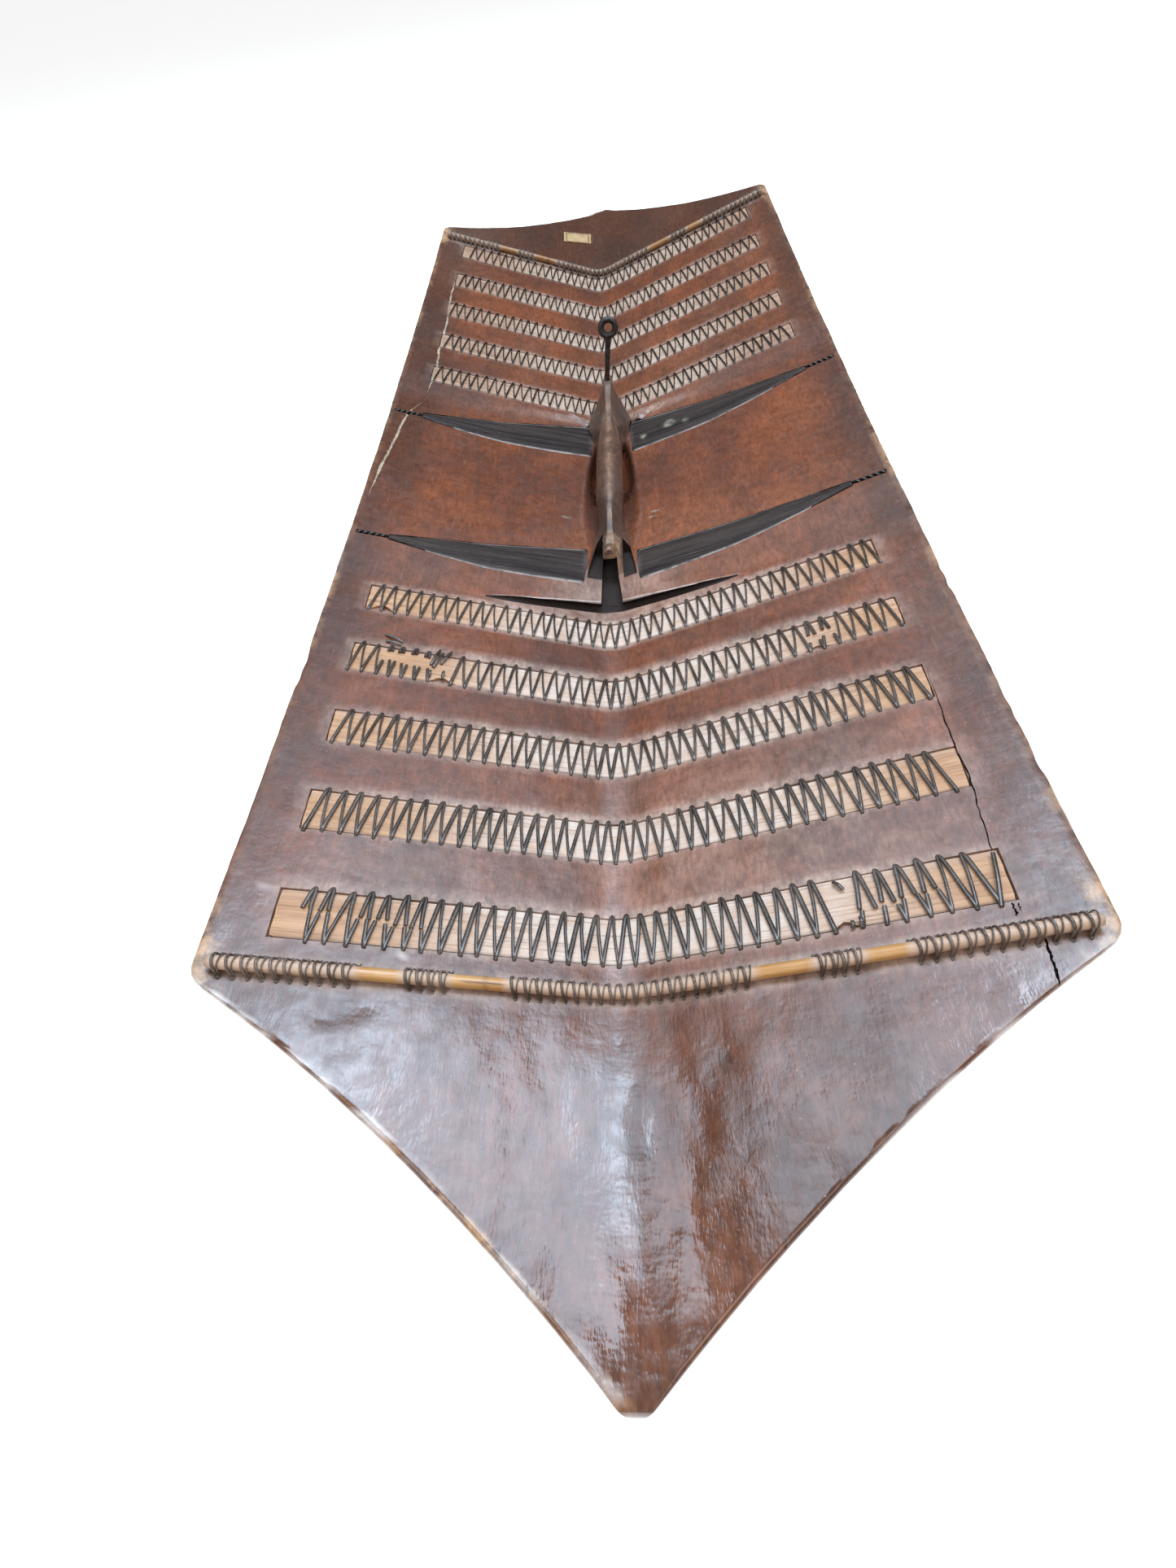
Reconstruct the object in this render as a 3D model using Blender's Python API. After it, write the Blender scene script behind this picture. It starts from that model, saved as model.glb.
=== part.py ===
"""Long hexagonal wooden shield, lying face down with its grip side up. Metres; +Y is its upper end."""

import math

import bpy
import bmesh
import numpy as np
from mathutils import Matrix, Vector

# Board outline, seen from above
HALF_LENGTH = {"upper": 0.6411, "lower": 0.6455}
SIDE_HALF_WIDTH = 0.217
SHOULDER_HALF_WIDTH = 0.2038
SHOULDER_Y = 0.4825
POINT_SLOPE = {"upper": 1.00, "lower": 0.975}
POINT_FLARE_RADIUS = {"upper": 0.337, "lower": 0.503}
SHOULDER_ROUNDING = 0.009
TIP_ROUNDING = {"upper": 0.012, "lower": 0.0075}
TIP_OFFSET = {"upper": -0.003, "lower": -0.0056}

# Board section: a soft V, bowed end to end
GRIP_Y = 0.005
CREASE_X = -0.007
WING_SLOPE = 0.33
CREASE_HALF_WIDTH = 0.024
REST_HALF_WIDTH = 0.0135
REST_HALF_LENGTH = 0.100
BOW_RADIUS = 3.42
BOARD_THICKNESS = 0.016
RIDGE_SHAVED = 0.0035
EDGE_THICKNESS = 0.009
RIM_ROUNDING = 0.004

# Thicker middle of the board, with a scooped undercut along its lower edge
SWELL_HEIGHT = 0.006
SWELL_HALF_WIDTH = 0.102
SWELL_LOWER = 0.151
SWELL_UPPER = 0.146
SWELL_EDGE_SLOPE = 0.115
SCOOP_WIDTH = 0.0075
SCOOP_DEPTH = 0.005
SCOOP_UNDERCUT = 0.004

# Handle, carved in one with the board
HANDLE_FOOT = -0.117
HANDLE_HEAD = 0.150
HANDLE_X = -0.0045
HANDLE_SKEW = 0.015
HANDLE_HEIGHT = 0.033
PROW_HEIGHT = 0.040
BAR_HALF_WIDTH = 0.0138
BAR_CLEARANCE = 0.011
PROW_HALF_WIDTH = 0.0295
HOOD_HALF_WIDTH = 0.0265
CREST_HALF_WIDTH = 0.0050
HOLLOW_DEPTH = 0.013
HOLLOW_HALF_LENGTH = 0.056
HOLLOW_HALF_WIDTH = 0.030
HOLLOW_Y = 0.032
HOLLOW_LIFT = 0.004
SLOT_MOUTH_HALF_WIDTH = 0.008
SLOT_END_HALF_WIDTH = 0.005
SLOT_END = -0.078
SLOT_HEIGHT = 0.012
FIN_THICKNESS = 0.003
HOOD_WALL = 0.0035
HOOD_END = -0.083
VOID_HEIGHT = 0.021

# Cane strips and their lacing
STRIP_COUNT = 5
FIRST_STRIP_Y = {"upper": 0.1757, "lower": 0.188}
LAST_STRIP_TO_ROD = {"upper": 0.0218, "lower": 0.0313}
STRIP_WIDTH = 0.028
STRIP_THICKNESS = 0.002
STRIP_END_MARGIN = {
    ("upper", "left"): 0.0292,
    ("upper", "right"): 0.0290,
    ("lower", "left"): 0.0280,
    ("lower", "right"): 0.0322,
}
LACING_PITCH = 0.0089
LACING_OVERHANG = 0.0015
LACING_HEIGHT = 0.0015
LACING_NOTCH = 0.0085
LACING_END_INSET = 0.004
BROKEN_LACING = {("lower", 2): (-0.134, -0.119), ("lower", 5): (0.098, 0.110)}

# Cane rods and their lashings
ROD_BELOW_SHOULDER = {"upper": 0.0240, "lower": 0.0063}
ROD_RADIUS = 0.0034
ROD_END_MARGIN = 0.005
LASHING_THICKNESS = 0.0010
LASHING_GROUPS = ((-0.196, -0.132), (-0.110, -0.090), (-0.062, 0.056), (0.084, 0.104), (0.124, 0.196))

# Battens: the ends of each one's upper and lower edge, from the handle outwards
BATTEN_INNER_X = {
    ("upper", "left"): 0.0180,
    ("upper", "right"): 0.0235,
    ("lower", "left"): 0.0240,
    ("lower", "right"): 0.0240,
}
BATTEN_END_MARGIN = 0.031
BATTEN_EDGES = {
    ("upper", "left"): ((0.1290, 0.0970), (0.0740, 0.0875)),
    ("upper", "right"): ((0.1264, 0.1023), (0.0721, 0.0954)),
    ("lower", "left"): ((-0.0807, -0.1050), (-0.1290, -0.1120)),
    ("lower", "right"): ((-0.0885, -0.0950), (-0.1301, -0.1020)),
}
BATTEN_BELLY = 0.006
BATTEN_DEPTH = 0.004
BATTEN_PROUD = 0.0008
TIE_WIDTH = 0.005
TIE_DEPTH = 0.0025
TIE_PROUD = 0.001
TIE_TURNS = 5
TIE_EDGE_MARGIN = 0.006

# Eye pin and paper patch
PIN_RADIUS = 0.0027
PIN_LENGTH = 0.047
PIN_SEAT = 0.016
PIN_LEAN = 0.10
PIN_SIDE_LEAN = 0.09
EYE_RADIUS = 0.0070
EYE_WIRE_RADIUS = 0.0032
PATCH_SIZE = (0.036, 0.023)
PATCH_X = -0.0356
PATCH_BELOW_TIP = 0.0791
PATCH_SKEW = 0.012
PATCH_THICKNESS = 0.0006

GAP = 0.0003
CUT_THROUGH = 0.004
BOW_ROW_STEP = 0.0675
BOW_ROWS = 19

WOOD = ((0.16, 0.075, 0.045), 0.55, 0.0)
CANE = ((0.55, 0.34, 0.18), 0.45, 0.0)
THREAD = ((0.09, 0.07, 0.06), 0.40, 0.0)
ROD = ((0.55, 0.28, 0.09), 0.35, 0.0)
BLACK_WOOD = ((0.03, 0.025, 0.025), 0.50, 0.0)
IRON = ((0.05, 0.045, 0.045), 0.55, 0.9)
PAPER = ((0.50, 0.38, 0.22), 0.85, 0.0)

SIDES = (("left", -1), ("right", 1))
ENDS = (("upper", 1), ("lower", -1))


def clear_scene():
    for obj in list(bpy.data.objects):
        bpy.data.objects.remove(obj, do_unlink=True)


def make_material(name, look):
    colour, roughness, metallic = look
    material = bpy.data.materials.new(name)
    material.use_nodes = True
    shader = material.node_tree.nodes["Principled BSDF"]
    shader.inputs["Base Color"].default_value = (*colour, 1.0)
    shader.inputs["Roughness"].default_value = roughness
    shader.inputs["Metallic"].default_value = metallic
    material.diffuse_color = (*colour, 1.0)
    return material


def loft(name, rings, look, smooth_degrees=35.0):
    """Closed solid through rings of equally many points, capped at both ends, faces turned outward."""
    mesh = bmesh.new()
    loops = [[mesh.verts.new(point) for point in ring] for ring in rings]
    for near, far in zip(loops, loops[1:]):
        for i in range(len(near)):
            j = (i + 1) % len(near)
            mesh.faces.new((near[i], near[j], far[j], far[i]))
    mesh.faces.new(loops[0][::-1])
    mesh.faces.new(loops[-1])
    bmesh.ops.recalc_face_normals(mesh, faces=mesh.faces)
    data = bpy.data.meshes.new(name)
    mesh.to_mesh(data)
    mesh.free()
    obj = bpy.data.objects.new(name, data)
    bpy.context.scene.collection.objects.link(obj)
    data.shade_smooth()
    data.set_sharp_from_angle(angle=math.radians(smooth_degrees))
    if look:
        data.materials.append(make_material(name, look))
    return obj


def cut(target, cutter, operation="DIFFERENCE"):
    """Adds a Boolean to the target; the tool object stays as a hidden wire guide."""
    cutter.hide_render = True
    cutter.display_type = "WIRE"
    modifier = target.modifiers.new(cutter.name, "BOOLEAN")
    modifier.operation = operation
    modifier.solver = "EXACT"
    modifier.object = cutter


# Board surfaces


def bow_rows():
    middle = (BOW_ROWS - 1) / 2
    rows = [GRIP_Y + (i - middle) * BOW_ROW_STEP for i in range(BOW_ROWS)]
    return sorted(rows + [GRIP_Y - REST_HALF_LENGTH, GRIP_Y + REST_HALF_LENGTH])


def bow(y):
    """Rise of the board towards its ends, in straight steps between the rows."""
    rows = np.array(bow_rows())
    return float(np.interp(y, rows, (rows - GRIP_Y) ** 2 / (2 * BOW_RADIUS)))


def crease_rise(x):
    """Rise of the V away from the crease, softened near it."""
    reach = abs(x - CREASE_X)
    soft = CREASE_HALF_WIDTH / 2
    inner = WING_SLOPE * REST_HALF_WIDTH**2 / (2 * soft)
    edge = WING_SLOPE * (CREASE_HALF_WIDTH - soft / 2)
    far = 1.0
    stations = (0, REST_HALF_WIDTH, CREASE_HALF_WIDTH, far)
    return float(np.interp(reach, stations, (0, inner, edge, edge + WING_SLOPE * (far - CREASE_HALF_WIDTH))))


def back_z(x, y):
    return BOARD_THICKNESS + bow(y) + crease_rise(x)


def front_z(x, y):
    """Front of the board, thinner towards its edges, with a small flat on the ridge that it lies on."""
    share = min(1.0, abs(x - CREASE_X) / SHOULDER_HALF_WIDTH)
    thick = BOARD_THICKNESS + RIDGE_SHAVED
    return max(0.0, back_z(x, y) - thick + (thick - EDGE_THICKNESS) * share)


def swell_rise(x):
    """Extra thickness in the middle of the board; it runs out at the swell's half width."""
    return SWELL_HEIGHT * (1 - abs(x - CREASE_X) / SWELL_HALF_WIDTH)


def panel_z(x, y):
    return back_z(x, y) + max(0.0, swell_rise(x))


def side_half_width(y):
    share = (y - GRIP_Y) / SHOULDER_Y
    return SIDE_HALF_WIDTH + (SHOULDER_HALF_WIDTH - SIDE_HALF_WIDTH) * share**2


def point_y(half_width, end):
    """Height of the pointed end's edge at a distance from its middle."""
    apex = HALF_LENGTH[end] + POINT_SLOPE[end] * TIP_ROUNDING[end] / 2
    return apex - POINT_SLOPE[end] * half_width + half_width**2 / (2 * POINT_FLARE_RADIUS[end])


def curve_point(start, control, finish, t):
    """Point on a quadratic curve."""
    return tuple((1 - t) ** 2 * a + 2 * t * (1 - t) * b + t**2 * c for a, b, c in zip(start, control, finish))


def end_rows(end, sign):
    """(y, half width, middle) of the rows from the shoulder's corner to the tip."""
    corner = (SHOULDER_HALF_WIDTH, point_y(SHOULDER_HALF_WIDTH, end))
    side_y = corner[1] - SHOULDER_ROUNDING
    inner = SHOULDER_HALF_WIDTH - SHOULDER_ROUNDING
    start = (side_half_width(sign * side_y), side_y)
    finish = (inner, point_y(inner, end))
    rows = [curve_point(start, corner, finish, t) for t in (0.0, 0.3, 0.65, 1.0)]
    rows += [(inner * share, point_y(inner * share, end)) for share in (0.86, 0.70, 0.52, 0.34, 0.17)]
    start = (TIP_ROUNDING[end], point_y(TIP_ROUNDING[end], end))
    finish = (-TIP_ROUNDING[end], start[1])
    apex = (0.0, start[1] + POINT_SLOPE[end] * TIP_ROUNDING[end])
    rows += [curve_point(start, apex, finish, t) for t in (0.0, 0.2, 0.4)]
    reach = HALF_LENGTH[end] - side_y
    return [(sign * y, half, TIP_OFFSET[end] * (y - side_y) / reach) for half, y in rows]


def outline_rows():
    ends = {end: end_rows(end, sign) for end, sign in ENDS}
    low, high = ends["lower"][0][0], ends["upper"][0][0]
    spare = BOW_ROW_STEP / 4
    sides = [(y, side_half_width(y), 0.0) for y in bow_rows() if low + spare < y < high - spare]
    return ends["lower"][::-1] + sides + ends["upper"]


def board_ring(y, half, middle):
    """One cross-section: the back from right to left, the rounded rim, the front, the other rim."""
    rim = min(RIM_ROUNDING, half * 0.3)
    left, right = middle - half + rim, middle + half - rim
    crease = min(max(CREASE_X, left + rim), right - rim)
    stations = [right]
    for share, width in ((0.6, CREASE_HALF_WIDTH), (0.3, REST_HALF_WIDTH)):
        stations.append(crease + min(width, (right - crease) * share))
    stations.append(crease)
    for share, width in ((0.3, REST_HALF_WIDTH), (0.6, CREASE_HALF_WIDTH)):
        stations.append(crease - min(width, (crease - left) * share))
    stations.append(left)
    back = [(x, y, back_z(x, y)) for x in stations]
    front = [(x, y, front_z(x, y)) for x in reversed(stations)]
    rims = []
    for edge, way in ((left, -1), (right, 1)):
        top, bottom = back_z(edge, y), front_z(edge, y)
        shoulder, nose = edge + way * rim * 0.7, edge + way * rim
        profile = ((shoulder, 0.8), (nose, 0.5), (shoulder, 0.2))
        rims.append([(x, y, bottom + (top - bottom) * height) for x, height in profile])
    return back + rims[0] + front + rims[1][::-1]


def make_board_blank():
    return loft("board", [board_ring(*row) for row in outline_rows()], WOOD)


# Swell, scoop and finger hollow


def swell_edge(x, end_y, way):
    return GRIP_Y + way * (end_y + SWELL_EDGE_SLOPE * abs(x - CREASE_X))


def make_swell():
    """Wedge that fills the V around the handle and runs out on each wing."""
    reach = SWELL_HALF_WIDTH + 0.004
    sunk = 0.004
    shares = (-1.0, -0.25, -0.1, 0.0, 0.1, 0.25, 1.0)
    stations = [CREASE_X + reach * share for share in shares]
    inner = [y for y in bow_rows() if abs(y - GRIP_Y) < SWELL_UPPER - BOW_ROW_STEP / 4]
    rings = []
    for x in stations:
        rows = [swell_edge(x, SWELL_LOWER, -1), *inner, swell_edge(x, SWELL_UPPER, 1)]
        top = [(x, y, back_z(x, y) + swell_rise(x)) for y in rows]
        bottom = [(x, y, back_z(x, y) - sunk) for y in reversed(rows)]
        rings.append(top + bottom)
    return loft("swell", rings, None)


def make_scoop():
    """Crescent undercut below the swell's lower edge."""
    rings = []
    reach = SWELL_HALF_WIDTH * 0.97
    for share in (-1.0, -0.72, -0.4, 0.0, 0.4, 0.72, 1.0):
        x = CREASE_X + reach * share
        size = max(0.05, 1 - share**2)
        edge = swell_edge(x, SWELL_LOWER, -1)
        ground = back_z(x, edge)
        roof = ground + SWELL_HEIGHT * 0.5 * size
        width = SCOOP_WIDTH * math.sqrt(size)
        rings.append(
            [
                (x, edge + SCOOP_UNDERCUT * size, ground - SCOOP_DEPTH * size * 0.5),
                (x, edge + SCOOP_UNDERCUT * size, roof),
                (x, edge - width, roof),
                (x, edge - width, ground),
                (x, edge - width * 0.4, ground - SCOOP_DEPTH * size),
            ]
        )
    return loft("scoop", rings, None)


def make_finger_hollow():
    """Smooth bowl under the handle's bar."""
    mesh = bmesh.new()
    bmesh.ops.create_uvsphere(mesh, u_segments=16, v_segments=8, radius=1.0)
    size = (HOLLOW_HALF_WIDTH, HOLLOW_HALF_LENGTH, HOLLOW_DEPTH + HOLLOW_LIFT)
    bmesh.ops.scale(mesh, vec=size, verts=mesh.verts)
    centre_y = GRIP_Y + HOLLOW_Y
    centre = Vector((handle_axis(HOLLOW_Y), centre_y, panel_z(CREASE_X, centre_y) + HOLLOW_LIFT))
    bmesh.ops.translate(mesh, vec=centre, verts=mesh.verts)
    data = bpy.data.meshes.new("finger_hollow")
    mesh.to_mesh(data)
    mesh.free()
    obj = bpy.data.objects.new("finger_hollow", data)
    bpy.context.scene.collection.objects.link(obj)
    return obj


# Handle


def handle_axis(y):
    """The handle's middle, a little askew to the crease; y is measured from the grip."""
    return HANDLE_X + HANDLE_SKEW * y


# Each station: share of the handle's length, how far it flares into a keel, foot half width, underside and
# crest above the panel, crest half width, and how far the crest leans along the handle.
def handle_stations():
    sunk = -0.5 * SWELL_HEIGHT
    bar, crest = BAR_HALF_WIDTH, CREST_HALF_WIDTH
    return (
        (0.00, 1.0, HOOD_HALF_WIDTH, sunk, HANDLE_HEIGHT * 0.97, crest * 1.7, 0.017),
        (0.10, 1.0, HOOD_HALF_WIDTH * 0.94, sunk, HANDLE_HEIGHT * 1.00, crest * 1.4, 0.009),
        (0.20, 0.9, HOOD_HALF_WIDTH * 0.76, sunk, HANDLE_HEIGHT * 1.00, crest, 0.002),
        (0.27, 0.3, bar, BAR_CLEARANCE * 0.5, HANDLE_HEIGHT * 0.98, crest, 0.0),
        (0.33, 0.0, bar, BAR_CLEARANCE, HANDLE_HEIGHT * 0.97, crest, 0.0),
        (0.68, 0.0, bar, BAR_CLEARANCE, HANDLE_HEIGHT * 0.98, crest, 0.0),
        (0.74, 0.2, bar * 1.05, BAR_CLEARANCE * 0.7, HANDLE_HEIGHT, crest, 0.0),
        (0.80, 0.8, PROW_HALF_WIDTH * 0.62, sunk, PROW_HEIGHT * 0.88, crest * 1.1, 0.0),
        (0.89, 1.0, PROW_HALF_WIDTH, sunk, PROW_HEIGHT * 0.94, crest * 1.3, 0.0),
        (0.955, 1.0, PROW_HALF_WIDTH * 0.90, sunk, PROW_HEIGHT, crest * 1.6, 0.004),
        (1.00, 1.0, PROW_HALF_WIDTH * 0.50, sunk, PROW_HEIGHT * 0.97, crest * 1.6, 0.008),
    )


def handle_ring(share, flare, foot, low, high, crest, lean):
    levels = (0.0, 0.25, 0.55, 0.85, 1.0)
    bar_shape = (0.55, 0.92, 1.0, 0.8, 0.35)
    keel_shape = (1.0, 0.72, 0.52, 0.40, 0.0)
    base_y = HANDLE_FOOT + (HANDLE_HEAD - HANDLE_FOOT) * share
    right, left = [], []
    for level, bar, keel in zip(levels, bar_shape, keel_shape):
        half = (1 - flare) * bar * BAR_HALF_WIDTH + flare * keel * foot
        half = max(half, crest)
        y = base_y + lean * level
        ground = panel_z(CREASE_X, GRIP_Y + base_y)
        z = ground + low + (high - low) * level
        axis = handle_axis(y)
        right.append((axis + half, GRIP_Y + y, z))
        left.append((axis - half, GRIP_Y + y, z))
    return right + left[::-1]


def make_handle():
    return loft("handle", [handle_ring(*station) for station in handle_stations()], None)


def handle_prism(name, sections):
    """Cutter along the handle: each section is (y, ((offset from the axis, height above the panel), ...))."""
    rings = []
    for y, outline in sections:
        ground = panel_z(CREASE_X, GRIP_Y + y)
        rings.append([(handle_axis(y) + u, GRIP_Y + y, ground + v) for u, v in outline])
    return loft(name, rings, None)


def make_foot_slot():
    """Slot through the thick middle, from the swell's lower edge to under the handle's foot."""
    start = -(SWELL_LOWER + SCOOP_WIDTH)
    low = -SWELL_HEIGHT - SCOOP_DEPTH * 0.4
    sections = []
    for y, half in ((start, SLOT_MOUTH_HALF_WIDTH), (SLOT_END, SLOT_END_HALF_WIDTH)):
        sections.append((y, ((half, low), (half, SLOT_HEIGHT), (-half, SLOT_HEIGHT), (-half, low))))
    return handle_prism("foot_slot", sections)


def make_hood_void(name, way):
    """Three-cornered pocket beside the slot, under the handle's flared foot."""
    sections = []
    inner = SLOT_END_HALF_WIDTH + FIN_THICKNESS
    for y, outer in ((HANDLE_FOOT - 0.004, HOOD_HALF_WIDTH), (HOOD_END, HOOD_HALF_WIDTH * 0.8)):
        outline = ((inner, 0.0), (outer - HOOD_WALL, 0.0), (inner + 0.001, VOID_HEIGHT), (inner, VOID_HEIGHT))
        sections.append((y, tuple((way * u, v) for u, v in outline)))
    return handle_prism(name, sections)


# Strips, rods and lacing


def across(x_from, x_to):
    """Stations across the board that follow the V's soft crease."""
    bends = [CREASE_X + way * width for way in (-1, 1) for width in (REST_HALF_WIDTH, CREASE_HALF_WIDTH)]
    return [x_from, *sorted(x for x in [*bends, CREASE_X] if x_from < x < x_to), x_to]


def rod_y(end):
    """Distance of a rod from the board's middle."""
    return point_y(SHOULDER_HALF_WIDTH, end) - ROD_BELOW_SHOULDER[end]


def strip_y(end, sign, number):
    """The strips are evenly spaced from the first one, beside the handle, to the last one, beside the rod."""
    first = GRIP_Y + sign * FIRST_STRIP_Y[end]
    last = sign * (rod_y(end) - LAST_STRIP_TO_ROD[end])
    return first + (last - first) * number / (STRIP_COUNT - 1)


def strip_span(y):
    end = "upper" if y > GRIP_Y else "lower"
    return tuple(way * (side_half_width(y) - STRIP_END_MARGIN[end, side]) for side, way in SIDES)


def strip_rings(y, grow, low, high):
    """Flat bar across the board around y, from low to high above its back."""
    x_from, x_to = strip_span(y)
    half = STRIP_WIDTH / 2 + grow
    rings = []
    for x in across(x_from - grow, x_to + grow):
        near, far = y - half, y + half
        rings.append(
            [
                (x, near, back_z(x, near) + low),
                (x, near, back_z(x, near) + high),
                (x, far, back_z(x, far) + high),
                (x, far, back_z(x, far) + low),
            ]
        )
    return rings


def lacing_rings(y, x_from, x_to):
    """Zigzag thread over a strip: three-sided rings that step from one edge of the strip to the other."""
    top = y + STRIP_WIDTH / 2 + LACING_OVERHANG
    bottom = y - STRIP_WIDTH / 2 - LACING_OVERHANG
    steps = int((x_to - x_from) / (LACING_PITCH / 2))
    rings = []
    for i in range(steps + 1):
        x = x_from + i * LACING_PITCH / 2
        high = top if i % 2 else bottom + LACING_NOTCH
        ring = []
        for drop, lift in ((0.0, 0.0), (0.5, LACING_HEIGHT), (1.0, 0.0)):
            point_y_value = high - drop * LACING_NOTCH
            ring.append((x, point_y_value, back_z(x, point_y_value) + GAP + lift))
        rings.append(ring)
    return rings


def make_strips_and_lacing(board):
    for end, sign in ENDS:
        for i in range(STRIP_COUNT):
            y = strip_y(end, sign, i)
            label = f"{end}_{i + 1}"
            loft(f"cane_strip_{label}", strip_rings(y, 0.0, -STRIP_THICKNESS, 0.0), CANE)
            trough = strip_rings(y, GAP, -STRIP_THICKNESS - GAP, CUT_THROUGH)
            cut(board, loft(f"trough_{label}", trough, None))
            x_from, x_to = strip_span(y)
            x_from, x_to = x_from + LACING_END_INSET, x_to - LACING_END_INSET
            broken = BROKEN_LACING.get((end, i + 1))
            if broken:
                loft(f"lacing_{label}_left", lacing_rings(y, x_from, broken[0]), THREAD)
                loft(f"lacing_{label}_right", lacing_rings(y, broken[1], x_to), THREAD)
            else:
                loft(f"lacing_{label}", lacing_rings(y, x_from, x_to), THREAD)


def rod_height(x, y):
    """Middle of a rod that lies on the back of the board."""
    return back_z(x, y) + (ROD_RADIUS + GAP) * math.hypot(1.0, WING_SLOPE)


def make_rod(end, y):
    reach = side_half_width(y) - ROD_END_MARGIN
    data = bpy.data.curves.new(f"rod_{end}", "CURVE")
    data.dimensions = "3D"
    data.bevel_depth = ROD_RADIUS
    data.bevel_resolution = 1
    data.use_fill_caps = True
    spline = data.splines.new("POLY")
    stations = across(-reach, reach)
    spline.points.add(len(stations) - 1)
    for point, x in zip(spline.points, stations):
        point.co = (x, y, rod_height(x, y), 1.0)
    obj = bpy.data.objects.new(f"rod_{end}", data)
    bpy.context.scene.collection.objects.link(obj)
    data.materials.append(make_material(f"rod_{end}", ROD))


def lashing_ring(x, y):
    """Arch over the rod, standing on the board at both sides."""
    inner = (ROD_RADIUS + GAP) * 1.12
    outer = inner + LASHING_THICKNESS
    centre = rod_height(x, y)
    ring = []
    for radius, angles in ((outer, (150, 90, 30)), (inner, (30, 90, 150))):
        foot = radius if angles[0] < 90 else -radius
        arch = []
        for angle in angles:
            turn = math.radians(angle)
            arch.append((y + radius * math.cos(turn), centre + radius * math.sin(turn)))
        first, last = (y + foot, None), (y - foot, None)
        points = [first, *arch, last]
        for point in points:
            height = point[1] if point[1] is not None else back_z(x, point[0]) + GAP
            ring.append((x, point[0], height))
    return ring


def make_rod_lashings(end, y):
    for i, (x_from, x_to) in enumerate(LASHING_GROUPS):
        rings = [lashing_ring(x, y) for x in across(x_from, x_to)]
        loft(f"rod_lashing_{end}_{i + 1}", rings, THREAD, 60.0)


# Battens


def batten_rings(end, side, way, grow, low, high):
    """Tapering bar: straight upper edge, bellied lower edge. It follows the back of the board."""
    rings = []
    upper, lower = BATTEN_EDGES[end, side]
    inner = way * HANDLE_X + BATTEN_INNER_X[end, side] - grow
    outer = SIDE_HALF_WIDTH - BATTEN_END_MARGIN + grow
    for share in (0.0, 0.12, 0.3, 0.5, 0.75, 1.0):
        x = way * (inner + (outer - inner) * share)
        belly = BATTEN_BELLY * math.sin(math.pi * share)
        near = GRIP_Y + lower[0] + (lower[1] - lower[0]) * share - belly - grow
        far = GRIP_Y + upper[0] + (upper[1] - upper[0]) * share + grow
        rings.append(
            [
                (x, near, panel_z(x, near) + low),
                (x, near, panel_z(x, near) + high),
                (x, far, panel_z(x, far) + high),
                (x, far, panel_z(x, far) + low),
            ]
        )
    return rings


def tie_rings(end, side, way, grow, low, high, ribs):
    """Short twisted tie from the batten's tip to the board's edge."""
    upper, lower = BATTEN_EDGES[end, side]
    y = GRIP_Y + (upper[1] + lower[1]) / 2
    start = SIDE_HALF_WIDTH - BATTEN_END_MARGIN + 2 * GAP - grow
    stop = side_half_width(y) - TIE_EDGE_MARGIN + grow
    count = 2 * TIE_TURNS if ribs else 1
    rings = []
    for i in range(count + 1):
        x = way * (start + (stop - start) * i / count)
        rib = 0.8 if ribs and i % 2 == 0 else 1.0
        half = TIE_WIDTH / 2 * rib + grow
        top = high * rib
        outline = ((-half, low), (-half * 0.8, top), (half * 0.8, top), (half, low))
        rings.append([(x, y + u, panel_z(x, y + u) + v) for u, v in outline])
    return rings


def make_battens(board):
    for end, _ in ENDS:
        for side, way in SIDES:
            label = f"{end}_{side}"
            place = (end, side, way)
            loft(f"batten_{label}", batten_rings(*place, 0.0, -BATTEN_DEPTH, BATTEN_PROUD), BLACK_WOOD)
            pocket = batten_rings(*place, GAP, -BATTEN_DEPTH - GAP, CUT_THROUGH)
            cut(board, loft(f"pocket_{label}", pocket, None))
            loft(f"batten_tie_{label}", tie_rings(*place, 0.0, -TIE_DEPTH, TIE_PROUD, True), THREAD)
            groove = tie_rings(*place, GAP, -TIE_DEPTH - GAP, CUT_THROUGH, False)
            cut(board, loft(f"tie_groove_{label}", groove, None))


# Eye pin and paper patch


def pin_frame():
    """Origin at the top of the handle's head, with Z along the pin."""
    y = HANDLE_HEAD - 1.5 * PIN_RADIUS
    z = panel_z(CREASE_X, GRIP_Y + y) + PROW_HEIGHT
    place = Matrix.Translation((handle_axis(y), GRIP_Y + y, z))
    return place @ Matrix.Rotation(-PIN_LEAN, 4, "X") @ Matrix.Rotation(PIN_SIDE_LEAN, 4, "Y")


def circle(radius, count, z):
    turns = [i * math.tau / count for i in range(count)]
    return [(radius * math.cos(turn), radius * math.sin(turn), z) for turn in turns]


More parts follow.
